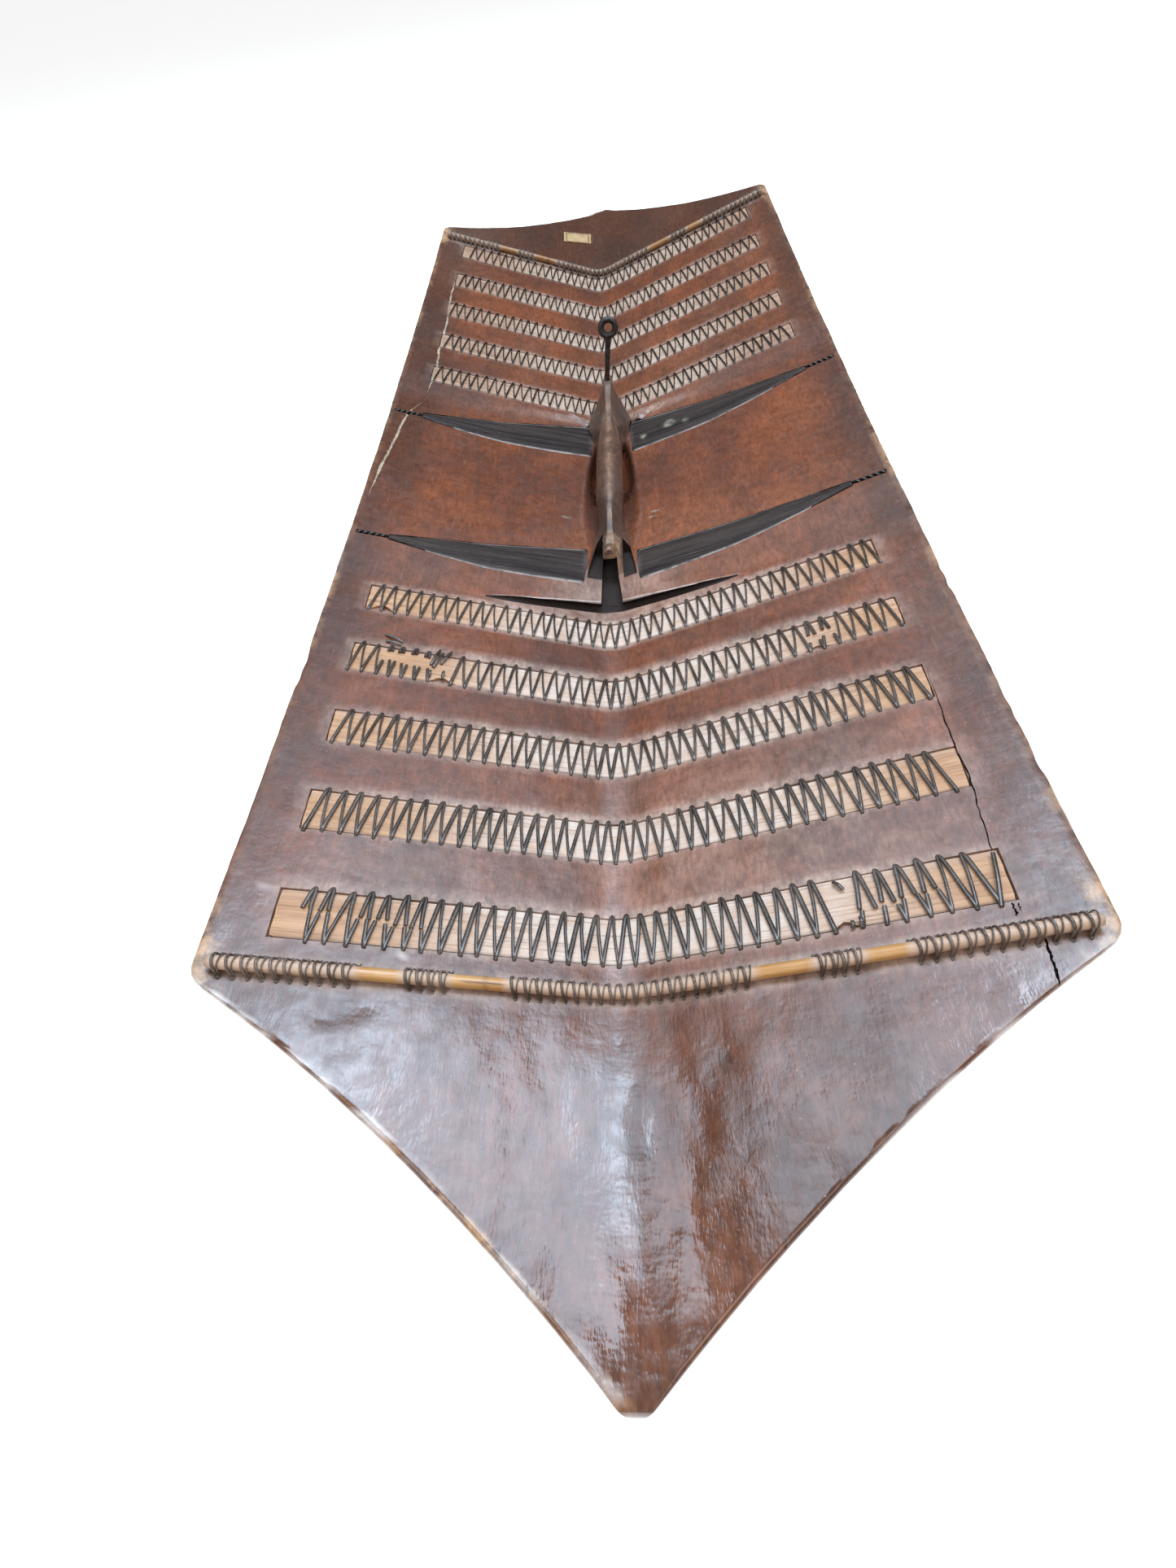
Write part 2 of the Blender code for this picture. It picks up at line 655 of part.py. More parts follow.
def make_eye_pin(board):
    frame = pin_frame()
    count = 8
    neck = PIN_LENGTH - EYE_RADIUS
    profile = ((-PIN_SEAT, 0.5), (-PIN_SEAT * 0.6, 1.0), (neck, 1.0))
    rings = [[frame @ Vector(p) for p in circle(PIN_RADIUS * share, count, z)] for z, share in profile]
    pin = loft("eye_pin", rings, IRON, 50.0)
    eye = bmesh.new()
    around, section = 12, 6
    loops = []
    for i in range(around):
        turn = i * math.tau / around
        out = Vector((math.sin(turn), 0.0, math.cos(turn)))
        loop = []
        for j in range(section):
            bend = j * math.tau / section
            offset = out * (EYE_RADIUS + EYE_WIRE_RADIUS * math.cos(bend))
            offset += Vector((0.0, EYE_WIRE_RADIUS * math.sin(bend), 0.0))
            loop.append(eye.verts.new(frame @ (offset + Vector((0.0, 0.0, PIN_LENGTH)))))
        loops.append(loop)
    for near, far in zip(loops, loops[1:] + loops[:1]):
        for j in range(section):
            k = (j + 1) % section
            eye.faces.new((near[j], near[k], far[k], far[j]))
    bmesh.ops.recalc_face_normals(eye, faces=eye.faces)
    data = bpy.data.meshes.new("eye")
    eye.to_mesh(data)
    eye.free()
    ring = bpy.data.objects.new("eye", data)
    bpy.context.scene.collection.objects.link(ring)
    cut(pin, ring, "UNION")
    depths = (-PIN_SEAT - GAP, PIN_LENGTH / 2)
    hole = [[frame @ Vector(p) for p in circle(PIN_RADIUS + GAP, count, z)] for z in depths]
    cut(board, loft("pin_hole", hole, None))


def make_paper_patch():
    width, height = PATCH_SIZE
    middle_y = HALF_LENGTH["upper"] - PATCH_BELOW_TIP
    rings = []
    for way in (-1, 1):
        x = PATCH_X + way * width / 2
        near = middle_y - height / 2 + way * PATCH_SKEW / 2
        far = near + height
        rings.append(
            [
                (x, near, back_z(x, near) + GAP),
                (x, near, back_z(x, near) + GAP + PATCH_THICKNESS),
                (x, far, back_z(x, far) + GAP + PATCH_THICKNESS),
                (x, far, back_z(x, far) + GAP),
            ]
        )
    loft("paper_patch", rings, PAPER)


def main():
    clear_scene()
    board = make_board_blank()
    cut(board, make_swell(), "UNION")
    cut(board, make_scoop())
    cut(board, make_finger_hollow())
    cut(board, make_handle(), "UNION")
    cut(board, make_foot_slot())
    for side, way in SIDES:
        cut(board, make_hood_void(f"hood_void_{side}", way))
    make_strips_and_lacing(board)
    make_battens(board)
    for end, sign in ENDS:
        y = sign * rod_y(end)
        make_rod(end, y)
        make_rod_lashings(end, y)
    make_eye_pin(board)
    make_paper_patch()


main()
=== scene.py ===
"""Visual model of a carved wooden war shield with sewn cane strips, lying with its grip side up."""
import functools
import math

import bpy
import numpy as np
from mathutils import Matrix, Vector


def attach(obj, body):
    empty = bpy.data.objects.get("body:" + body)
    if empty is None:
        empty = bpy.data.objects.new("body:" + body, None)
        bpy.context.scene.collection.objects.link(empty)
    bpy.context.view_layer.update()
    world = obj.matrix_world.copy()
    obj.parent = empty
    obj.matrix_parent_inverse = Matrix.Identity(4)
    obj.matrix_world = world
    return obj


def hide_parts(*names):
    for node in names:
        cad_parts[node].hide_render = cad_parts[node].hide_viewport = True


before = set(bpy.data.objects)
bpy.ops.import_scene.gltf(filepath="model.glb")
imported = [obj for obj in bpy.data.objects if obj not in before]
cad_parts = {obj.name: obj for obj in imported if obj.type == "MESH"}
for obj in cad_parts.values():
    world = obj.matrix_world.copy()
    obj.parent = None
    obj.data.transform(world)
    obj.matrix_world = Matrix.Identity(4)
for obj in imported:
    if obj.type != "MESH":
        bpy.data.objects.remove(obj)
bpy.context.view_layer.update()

# Board, in metres
HALF_LENGTH = {"upper": 0.6411, "lower": 0.6455}
SIDE_HALF_WIDTH = 0.217
SHOULDER_HALF_WIDTH = 0.2038
SHOULDER_Y = 0.4825
POINT_SLOPE = {"upper": 1.00, "lower": 0.975}
POINT_FLARE_RADIUS = {"upper": 0.337, "lower": 0.503}
SHOULDER_ROUNDING = 0.009
TIP_ROUNDING = {"upper": 0.012, "lower": 0.0075}
TIP_OFFSET = {"upper": -0.003, "lower": -0.0056}
GRIP_Y = 0.005
CREASE_X = -0.007
WING_SLOPE = 0.33
CREASE_SOFT = 0.012
POINT_SOFTENING = 0.022
BOW_RADIUS = 3.42
BOARD_THICKNESS = 0.016
RIDGE_SHAVED = 0.0035
EDGE_THICKNESS = 0.009
RIM_TOP = (0.0018, 0.0020)
RIM_UNDER = 0.0040
RIM_TIP = 0.0030

# Swell, scoop and hollow around the handle
SWELL_HEIGHT = 0.006
SWELL_HALF_WIDTH = 0.102
SWELL_LOWER = 0.151
SWELL_UPPER = 0.146
SWELL_EDGE_SLOPE = 0.115
SCOOP_WIDTH = 0.0075
SCOOP_DEPTH = 0.005
SCOOP_UNDERCUT = 0.004
RECESS_ROWS = (-0.095, -0.084, -0.037, -0.014, 0.010, 0.033, 0.056, 0.082, 0.094, 0.100)
RECESS_HALF_WIDTHS = (0.0160, 0.0205, 0.0272, 0.0275, 0.0265, 0.0252, 0.0235, 0.0205, 0.0188, 0.0175)
RECESS_DEPTHS = (0.0, 0.0012, 0.0014, 0.0020, 0.0055, 0.0110, 0.0130, 0.0125, 0.0070, 0.0)
RECESS_WALL = 0.42

# Handle
HANDLE_FOOT = -0.117
HANDLE_HEAD = 0.150
HANDLE_X = -0.0045
HANDLE_SKEW = 0.015
HANDLE_HEIGHT = 0.033
PROW_HEIGHT = 0.040
BAR_HALF_WIDTH = 0.0124
BAR_CLEARANCE = 0.011
PROW_HALF_WIDTH = 0.0295
HOOD_HALF_WIDTH = 0.0265
CREST_HALF_WIDTH = 0.0030
SLOT_MOUTH_HALF_WIDTH = 0.0092
SLOT_END_HALF_WIDTH = 0.0050
SLOT_END_SHIFT = -0.0025
SLOT_END = -0.078
SLOT_HEIGHT = 0.0135
FIN_THICKNESS = {-1: 0.0014, 1: 0.0050}
HOOD_WALL = 0.0035
HOOD_END = -0.083
COLLAR_HALF_WIDTH = 0.0072
VOID_HEIGHT = {-1: 0.020, 1: 0.024}
VOID_OVERLAP = 0.004
VOID_TOP = 0.001

# Strips, lacing and rods
STRIP_COUNT = 5
FIRST_STRIP_Y = {"upper": 0.1757, "lower": 0.188}
LAST_STRIP_TO_ROD = {"upper": 0.0218, "lower": 0.0313}
STRIP_WIDTH = 0.028
STRIP_THICKNESS = 0.002
STRIP_END_MARGIN = {
    ("upper", "left"): 0.0292,
    ("upper", "right"): 0.0290,
    ("lower", "left"): 0.0280,
    ("lower", "right"): 0.0322,
}
STITCH_PITCH = 0.0089
STITCH_SPAN = {
    ("upper", 1): (-0.1826, 0.1822),
    ("upper", 2): (-0.1797, 0.1806),
    ("upper", 3): (-0.1801, 0.1803),
    ("upper", 4): (-0.1758, 0.1772),
    ("upper", 5): (-0.1672, 0.1750),
    ("lower", 1): (-0.1846, 0.1830),
    ("lower", 2): (-0.1844, 0.1790),
    ("lower", 3): (-0.1795, 0.1766),
    ("lower", 4): (-0.1775, 0.1689),
    ("lower", 5): (-0.1680, 0.1649),
}
BROKEN_LACING = {("lower", 2): (-0.134, -0.119), ("lower", 5): (0.098, 0.110)}
ROD_BELOW_SHOULDER = {"upper": 0.0240, "lower": 0.0063}
ROD_RADIUS = 0.0034
ROD_END_MARGIN = 0.009
LASHING_GROUPS = ((-0.193, -0.132), (-0.110, -0.090), (-0.062, 0.056), (0.084, 0.104), (0.124, 0.193))
LASHING_TURNS = {"upper": (11, 4, 21, 4, 13), "lower": (10, 4, 20, 4, 11)}

# Battens and ties
BATTEN_END_MARGIN = 0.031

# Height over the grip at the inner and the outer end, of the upper edge and of the lower edge
BATTEN_EDGES = {
    ("upper", "left"): ((0.1290, 0.0970), (0.0740, 0.0875)),
    ("upper", "right"): ((0.1264, 0.1023), (0.0721, 0.0954)),
    ("lower", "left"): ((-0.0807, -0.1050), (-0.1290, -0.1120)),
    ("lower", "right"): ((-0.0885, -0.0950), (-0.1301, -0.1020)),
}

# Distance of the inner end from the middle, at the lower and at the upper corner
BATTEN_INNER = {
    ("upper", "left"): (0.0222, 0.0212),
    ("upper", "right"): (0.0175, 0.0165),
    ("lower", "left"): (0.0290, 0.0255),
    ("lower", "right"): (0.0160, 0.0150),
}

BATTEN_CORNER = 0.0022
BATTEN_BELLY = 0.006
BATTEN_DEPTH = 0.004
BATTEN_PROUD = 0.0008
TIE_WIDTH = 0.005
TIE_DEPTH = 0.0025
TIE_EDGE_MARGIN = 0.006

# Eye pin and paper patch
PIN_RADIUS = 0.0027
PIN_LENGTH = 0.047
PIN_SEAT = 0.016
PIN_LEAN = 0.10
PIN_SIDE_LEAN = 0.09
EYE_RADIUS = 0.0070
EYE_WIRE_RADIUS = 0.0032
PATCH_SIZE = (0.036, 0.023)
PATCH_X = -0.0356
PATCH_BELOW_TIP = 0.0791
PATCH_SKEW = 0.012
PATCH_THICKNESS = 0.0006

GAP = 0.0003
CUT_THROUGH = 0.004

SIDES = (("left", -1), ("right", 1))
ENDS = (("upper", 1), ("lower", -1))

# Mesh density
ROW_STEP = 0.0036
FINE_ROW_STEP = 0.0018
FINE_ROWS = (-0.160, 0.168)
BACK_COLUMNS = 59
FRONT_COLUMNS = 15
CREASE_COLUMNS = 20
CREASE_SHARE = 0.17
TIP_ROWS = (0.0, 0.0002, 0.0007, 0.0015, 0.0026)
CORNER_STEPS = 12
FLARE_STEPS = 60
TIP_STEPS = 10
TIP_SHARE = 0.4

# Angles over which an edge is drawn sharp, in degrees
SHARP = 40.0
STRIP_SHARP = 50.0
ROUND_SHARP = 60.0
BATTEN_SHARP = 30.0

# Seeds of the random numbers
SEEDS = {
    "waves": 11,
    "ripples": 12,
    "rim": 13,
    "strip": 100,
    "lacing": 200,
    "rod": 300,
    "coil": 400,
    "batten": 500,
    "pin": 600,
    "patch": 700,
    "crack": 800,
    "paint": 900,
}

# Camera
CAMERA_PLACE = (0.0102, -0.6137, 0.4077)
CAMERA_TURN = (0.6341, 0.0983, -0.0016)
CAMERA_LENS = 16.35


# Noise and soft steps


class Noise:
    """Smooth repeatable noise between -1 and 1 on a lattice of random numbers."""

    size = 64

    def __init__(self, seed):
        self.table = np.random.RandomState(seed).uniform(-1.0, 1.0, (self.size, self.size))

    def __call__(self, u, v=0.0):
        u, v = np.broadcast_arrays(np.asarray(u, float), np.asarray(v, float))
        i, j = np.floor(u).astype(int), np.floor(v).astype(int)
        s, t = u - i, v - j
        s, t = s * s * (3 - 2 * s), t * t * (3 - 2 * t)
        near = self.pick(i, j) * (1 - s) + self.pick(i + 1, j) * s
        far = self.pick(i, j + 1) * (1 - s) + self.pick(i + 1, j + 1) * s
        return near * (1 - t) + far * t

    def pick(self, i, j):
        return self.table[i % self.size, j % self.size]


def smooth(value, low, high):
    """0 below low, 1 above high, smooth between; low may be the larger one."""
    share = np.clip((np.asarray(value, float) - low) / (high - low), 0.0, 1.0)
    return share * share * (3 - 2 * share)


def band(value, outer_low, inner_low, inner_high, outer_high):
    """1 between the inner limits, 0 beyond the outer ones, smooth between."""
    return smooth(value, outer_low, inner_low) * smooth(value, outer_high, inner_high)


def linear_share(value, low, high):
    return min(1.0, max(0.0, (value - low) / (high - low)))


def strongest(*masks):
    return functools.reduce(np.maximum, masks)


# Board surfaces


def bow(y):
    return (y - GRIP_Y) ** 2 / (2 * BOW_RADIUS)


def crease_rise(x):
    reach = np.abs(x - CREASE_X)
    soft = WING_SLOPE * reach**2 / (2 * CREASE_SOFT)
    return np.where(reach < CREASE_SOFT, soft, WING_SLOPE * (reach - CREASE_SOFT / 2))


def back_z(x, y):
    return BOARD_THICKNESS + bow(y) + crease_rise(x)


def front_z(x, y):
    share = np.minimum(1.0, np.abs(x - CREASE_X) / SHOULDER_HALF_WIDTH)
    thick = BOARD_THICKNESS + RIDGE_SHAVED
    return np.maximum(0.0, back_z(x, y) - thick + (thick - EDGE_THICKNESS) * share)


def swell(x):
    """Rise of the panel round the handle, highest on the crease."""
    return np.maximum(0.0, SWELL_HEIGHT * (1 - np.abs(x - CREASE_X) / SWELL_HALF_WIDTH))


def panel_z(x, y):
    return back_z(x, y) + swell(x)


def ground_z(along):
    """Height of the panel's crease, at a distance from the grip's middle."""
    return float(panel_z(CREASE_X, GRIP_Y + along))


def lip_y(x):
    """Lower edge of the swell."""
    return GRIP_Y - (SWELL_LOWER + SWELL_EDGE_SLOPE * np.abs(x - CREASE_X))


def side_half_width(y):
    share = (y - GRIP_Y) / SHOULDER_Y
    return SIDE_HALF_WIDTH + (SHOULDER_HALF_WIDTH - SIDE_HALF_WIDTH) * share**2


def point_y(half_width, end):
    apex = HALF_LENGTH[end] + POINT_SLOPE[end] * TIP_ROUNDING[end] / 2
    return apex - POINT_SLOPE[end] * half_width + half_width**2 / (2 * POINT_FLARE_RADIUS[end])


def handle_axis(y):
    return HANDLE_X + HANDLE_SKEW * y


def rod_y(end):
    return point_y(SHOULDER_HALF_WIDTH, end) - ROD_BELOW_SHOULDER[end]


def strip_y(end, sign, number):
    first = GRIP_Y + sign * FIRST_STRIP_Y[end]
    last = sign * (rod_y(end) - LAST_STRIP_TO_ROD[end])
    return first + (last - first) * number / (STRIP_COUNT - 1)


def strip_reach(y, way):
    side = "left" if way < 0 else "right"
    return side_half_width(y) - STRIP_END_MARGIN["upper" if y > GRIP_Y else "lower", side]


STRIPS = [(end, i + 1, strip_y(end, sign, i)) for end, sign in ENDS for i in range(STRIP_COUNT)]


def bend(start, control, finish, t):
    """Point on a quadratic curve."""
    return (1 - t) ** 2 * start + 2 * t * (1 - t) * control + t**2 * finish


def end_outline(end, sign):
    """Rows of (half width, distance from the middle), from the shoulder's corner to the tip."""
    corner = np.array((SHOULDER_HALF_WIDTH, point_y(SHOULDER_HALF_WIDTH, end)))
    side_y = corner[1] - SHOULDER_ROUNDING
    inner = SHOULDER_HALF_WIDTH - SHOULDER_ROUNDING
    blunt = TIP_ROUNDING[end]
    start = np.array((side_half_width(sign * side_y), side_y))
    finish = np.array((inner, point_y(inner, end)))
    points = [bend(start, corner, finish, t) for t in np.linspace(0, 1, CORNER_STEPS)]
    points += [(half, point_y(half, end)) for half in np.linspace(inner, blunt, FLARE_STEPS)[1:]]
    start = np.array(points[-1])
    finish = np.array((-blunt, start[1]))
    apex = np.array((0.0, start[1] + POINT_SLOPE[end] * blunt))
    points += [bend(start, apex, finish, t) for t in np.linspace(0, TIP_SHARE, TIP_STEPS)[1:]]
    return np.array(points)


OUTLINES = {end: end_outline(end, sign) for end, sign in ENDS}
TIPS = {end: sign * OUTLINES[end][-1, 1] for end, sign in ENDS}


def end_at(y):
    return "upper" if y > 0 else "lower"


def half_width(y):
    """Half width of the board and its middle at height y."""
    end = end_at(y)
    table = OUTLINES[end]
    side_y = table[0, 1]
    away = abs(y)
    if away <= side_y:
        return side_half_width(y), 0.0
    half = np.interp(away, table[:, 1], table[:, 0])
    return half, TIP_OFFSET[end] * (away - side_y) / (HALF_LENGTH[end] - side_y)


# Mesh building


def make_object(name, points, faces, material, sharp_degrees):
    data = bpy.data.meshes.new(name)
    data.from_pydata(np.asarray(points, float).tolist(), [], faces)
    data.validate()
    obj = bpy.data.objects.new(name, data)
    bpy.context.scene.collection.objects.link(obj)
    data.shade_smooth()
    data.set_sharp_from_angle(angle=math.radians(sharp_degrees))
    data.materials.append(material)
    return obj


def ring_faces(rows, count, offset=0):
    """Faces through rings of points, capped at both ends."""
    faces = []
    for i in range(rows - 1):
        near = offset + i * count
        far = near + count
        for j in range(count):
            k = (j + 1) % count
            faces.append((near + j, far + j, far + k, near + k))
    last = offset + (rows - 1) * count
    faces.append(tuple(range(offset, offset + count)))
    faces.append(tuple(reversed(range(last, last + count))))
    return faces


def vertex_places(obj):
    points = np.empty(len(obj.data.vertices) * 3)
    obj.data.vertices.foreach_get("co", points)
    return points.reshape(-1, 3)


def turn_outward(obj):
    """Turns the faces of a closed mesh outward, by the sign of its volume."""
    data = obj.data
    data.calc_loop_triangles()
    corners = np.empty(len(data.loop_triangles) * 3, np.int32)
    data.loop_triangles.foreach_get("vertices", corners)
    a, b, c = vertex_places(obj)[corners].reshape(-1, 3, 3).transpose(1, 0, 2)
    if np.sum(a * np.cross(b, c)) < 0:
        data.flip_normals()


def loft(name, rings, material, sharp_degrees=SHARP):
    rings = np.asarray(rings, float)
    faces = ring_faces(rings.shape[0], rings.shape[1])
    obj = make_object(name, rings.reshape(-1, 3), faces, material, sharp_degrees)
    turn_outward(obj)
    return obj


class Tubes:
    """Collects swept strands into one mesh."""

    def __init__(self):
        self.points = []
        self.faces = []

    def add(self, path, width, height=None, sides=8, up=(0.0, 0.0, 1.0)):
        path = np.asarray(path, float)
        count = len(path)
        width = np.broadcast_to(width, count)
        height = width if height is None else np.broadcast_to(height, count)
        ahead = np.gradient(path, axis=0)
        ahead /= np.linalg.norm(ahead, axis=1)[:, None]
        side = np.cross(ahead, np.broadcast_to(up, ahead.shape))
        side = side / np.linalg.norm(side, axis=1)[:, None]
        over = np.cross(side, ahead)
        turns = np.arange(sides) * math.tau / sides
        rings = (
            path[:, None]
            + side[:, None] * (np.cos(turns)[None, :, None] * width[:, None, None])
            + over[:, None] * (np.sin(turns)[None, :, None] * height[:, None, None])
        )
        offset = sum(len(p) for p in self.points)
        self.points.append(rings.reshape(-1, 3))
        self.faces += ring_faces(count, sides, offset)

    def build(self, name, material):
        return make_object(name, np.concatenate(self.points), self.faces, material, ROUND_SHARP)


def boolean(target, tool, operation):
    modifier = target.modifiers.new("tool", "BOOLEAN")
    modifier.operation = operation
    modifier.solver = "EXACT"
    modifier.material_mode = "TRANSFER"
    modifier.object = tool
    depsgraph = bpy.context.evaluated_depsgraph_get()
    data = bpy.data.meshes.new_from_object(target.evaluated_get(depsgraph), depsgraph=depsgraph)
    target.modifiers.clear()
    old = target.data
    target.data = data
    bpy.data.meshes.remove(old)
    bpy.data.objects.remove(tool)


def set_mask(obj, name, values):
    """Stores a value from 0 to 1 at each point, for the materials."""
    count = len(obj.data.vertices)
    values = np.broadcast_to(np.clip(values, 0.0, 1.0), count)
    mask = obj.data.attributes.new(name, "FLOAT", "POINT")
    mask.data.foreach_set("value", values.astype(np.float32))


def dress(obj, slot_name, *nodes):
    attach(obj, "root")
    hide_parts(*nodes)


# Colours as linear red, green and blue; a pair is for low and high noise

WOOD = ((0.104, 0.032, 0.014), (0.212, 0.067, 0.031))
WARM_WOOD = ((0.112, 0.027, 0.008), (0.225, 0.058, 0.017))
GRIP_WOOD = ((0.052, 0.033, 0.024), (0.102, 0.067, 0.050))
WOOD_STREAK = (0.070, 0.026, 0.015)
WOOD_DIRT_AND_SHADE = (0.028, 0.012, 0.008)
WOOD_FILM = (0.36, 0.22, 0.155)
WOOD_DUST = (0.50, 0.375, 0.305)
WOOD_WEAR = (0.47, 0.28, 0.15)
WOOD_SCRATCH = (0.42, 0.28, 0.20)
WOOD_SPECK = (0.50, 0.38, 0.31)
WOOD_PAINTED_HIGHLIGHT_AND_MARK = (0.70, 0.62, 0.58)
# Near black: painted shade inside cuts, slots, voids and cracks
CUT_WOOD_IN_SHADE = ((0.010, 0.005, 0.004), (0.026, 0.013, 0.009))
OLD_FILLER = ((0.30, 0.22, 0.15), (0.62, 0.52, 0.40))
UPPER_STRIP = ((0.28, 0.145, 0.085), (0.48, 0.29, 0.18))
UPPER_STRIP_DUST = (0.54, 0.40, 0.31)
LOWER_STRIP = ((0.44, 0.225, 0.110), (0.60, 0.345, 0.185))
LOWER_STRIP_DUST = (0.71, 0.59, 0.51)
STRIP_SPLIT = (0.22, 0.11, 0.055)
STRIP_SHADE = (0.07, 0.035, 0.022)
DARK_THREAD = ((0.006, 0.004, 0.0035), (0.022, 0.015, 0.012))
PALE_THREAD = ((0.150, 0.102, 0.078), (0.350, 0.260, 0.210))
THREAD_FLECK = (0.22, 0.16, 0.12)
ROD_CANE = ((0.44, 0.195, 0.055), (0.60, 0.335, 0.130))
ROD_SPLIT = (0.28, 0.12, 0.045)
ROD_DUST = (0.58, 0.41, 0.31)
ROD_SHADE = (0.10, 0.045, 0.025)
BATTEN_WOOD = ((0.014, 0.009, 0.008), (0.048, 0.034, 0.029))
BATTEN_FIBRE = (0.110, 0.082, 0.070)
BATTEN_DUST_AND_HIGHLIGHT = (0.50, 0.44, 0.41)
PLASTER = (0.34, 0.31, 0.24)
BLACK_IRON = ((0.040, 0.036, 0.036), (0.11, 0.10, 0.10))
RUST = (0.10, 0.055, 0.035)
OLD_PAPER = ((0.52, 0.37, 0.19), (0.40, 0.26, 0.13))
PAPER_BORDER = (0.20, 0.105, 0.055)
PAPER_FIBRE = (0.60, 0.47, 0.29)
FLOOR_GREY = ((0.90, 0.90, 0.90), (0.93, 0.93, 0.93))


# Materials


class Look:
    """A procedural material under construction."""

    def __init__(self, name, roughness=0.5, metallic=0.0, specular=0.5):
        self.material = bpy.data.materials.new(name)
        self.material.use_nodes = True
        self.tree = self.material.node_tree
        self.shader = self.tree.nodes["Principled BSDF"]
        self.shader.inputs["Roughness"].default_value = roughness
        self.shader.inputs["Metallic"].default_value = metallic
        self.shader.inputs["Specular IOR Level"].default_value = specular
        self.place = self.node("ShaderNodeTexCoord").outputs["Object"]

    def node(self, kind, inputs=None, **settings):
        made = self.tree.nodes.new(kind)
        for key, value in settings.items():
            setattr(made, key, value)
        for key, value in (inputs or {}).items():
            self.feed(made.inputs[key], value)
        return made

    def feed(self, socket, value):
        if isinstance(value, bpy.types.NodeSocket):
            self.tree.links.new(value, socket)
        else:
            socket.default_value = value

    def noise(self, scale, detail=3.0, stretch=None, roughness=0.55, distortion=0.0, turn=0.0):
        vector = self.place
        if stretch:
            inputs = {"Vector": vector, "Scale": stretch, "Rotation": (0.0, 0.0, turn)}
            vector = self.node("ShaderNodeMapping", inputs).outputs["Vector"]
        inputs = {"Vector": vector, "Scale": scale, "Detail": detail, "Roughness": roughness}
        inputs["Distortion"] = distortion
        return self.node("ShaderNodeTexNoise", inputs).outputs["Fac"]

    def mask(self, name):
        return self.node("ShaderNodeAttribute", attribute_name=name).outputs["Fac"]

    def sum(self, operation, first, second):
        return self.node("ShaderNodeMath", {0: first, 1: second}, operation=operation).outputs["Value"]

    def ramp(self, value, low, high, start=0.0, finish=1.0):
        inputs = {"Value": value, "From Min": low, "From Max": high, "To Min": start, "To Max": finish}
        return self.node("ShaderNodeMapRange", inputs, interpolation_type="SMOOTHSTEP").outputs["Result"]

    def mix(self, share, first, second, blend="MIX"):
        made = self.node("ShaderNodeMix", data_type="RGBA", blend_type=blend)
        self.feed(made.inputs["Factor"], share)
        for key, value in ((6, first), (7, second)):
            self.feed(made.inputs[key], (*value, 1.0) if isinstance(value, tuple) else value)
        return made.outputs[2]

    def vary(self, value, low, high, pair):
        """The first colour of a pair turning into the second as value goes from low to high."""
        return self.mix(self.ramp(value, low, high), *pair)

    def fleck(self, base, value, low, high, amount, colour):
        """Base with up to an amount of another colour, as value goes from low to high."""
        return self.mix(self.ramp(value, low, high, 0.0, amount), base, colour)

    def patchy(self, mask, value, low, high, start=0.0, finish=1.0):
        """A mask of the mesh, broken up by noise."""
        return self.sum("MULTIPLY", self.mask(mask), self.ramp(value, low, high, start, finish))

    def colour(self, value):
        self.feed(self.shader.inputs["Base Color"], value)

    def rough(self, value):
        self.feed(self.shader.inputs["Roughness"], value)

    def bump(self, *layers):
        normal = None
        for height, distance in layers:
            inputs = {"Height": height, "Strength": 1.0, "Distance": distance}
            if normal:
                inputs["Normal"] = normal
            normal = self.node("ShaderNodeBump", inputs).outputs["Normal"]
        self.feed(self.shader.inputs["Normal"], normal)


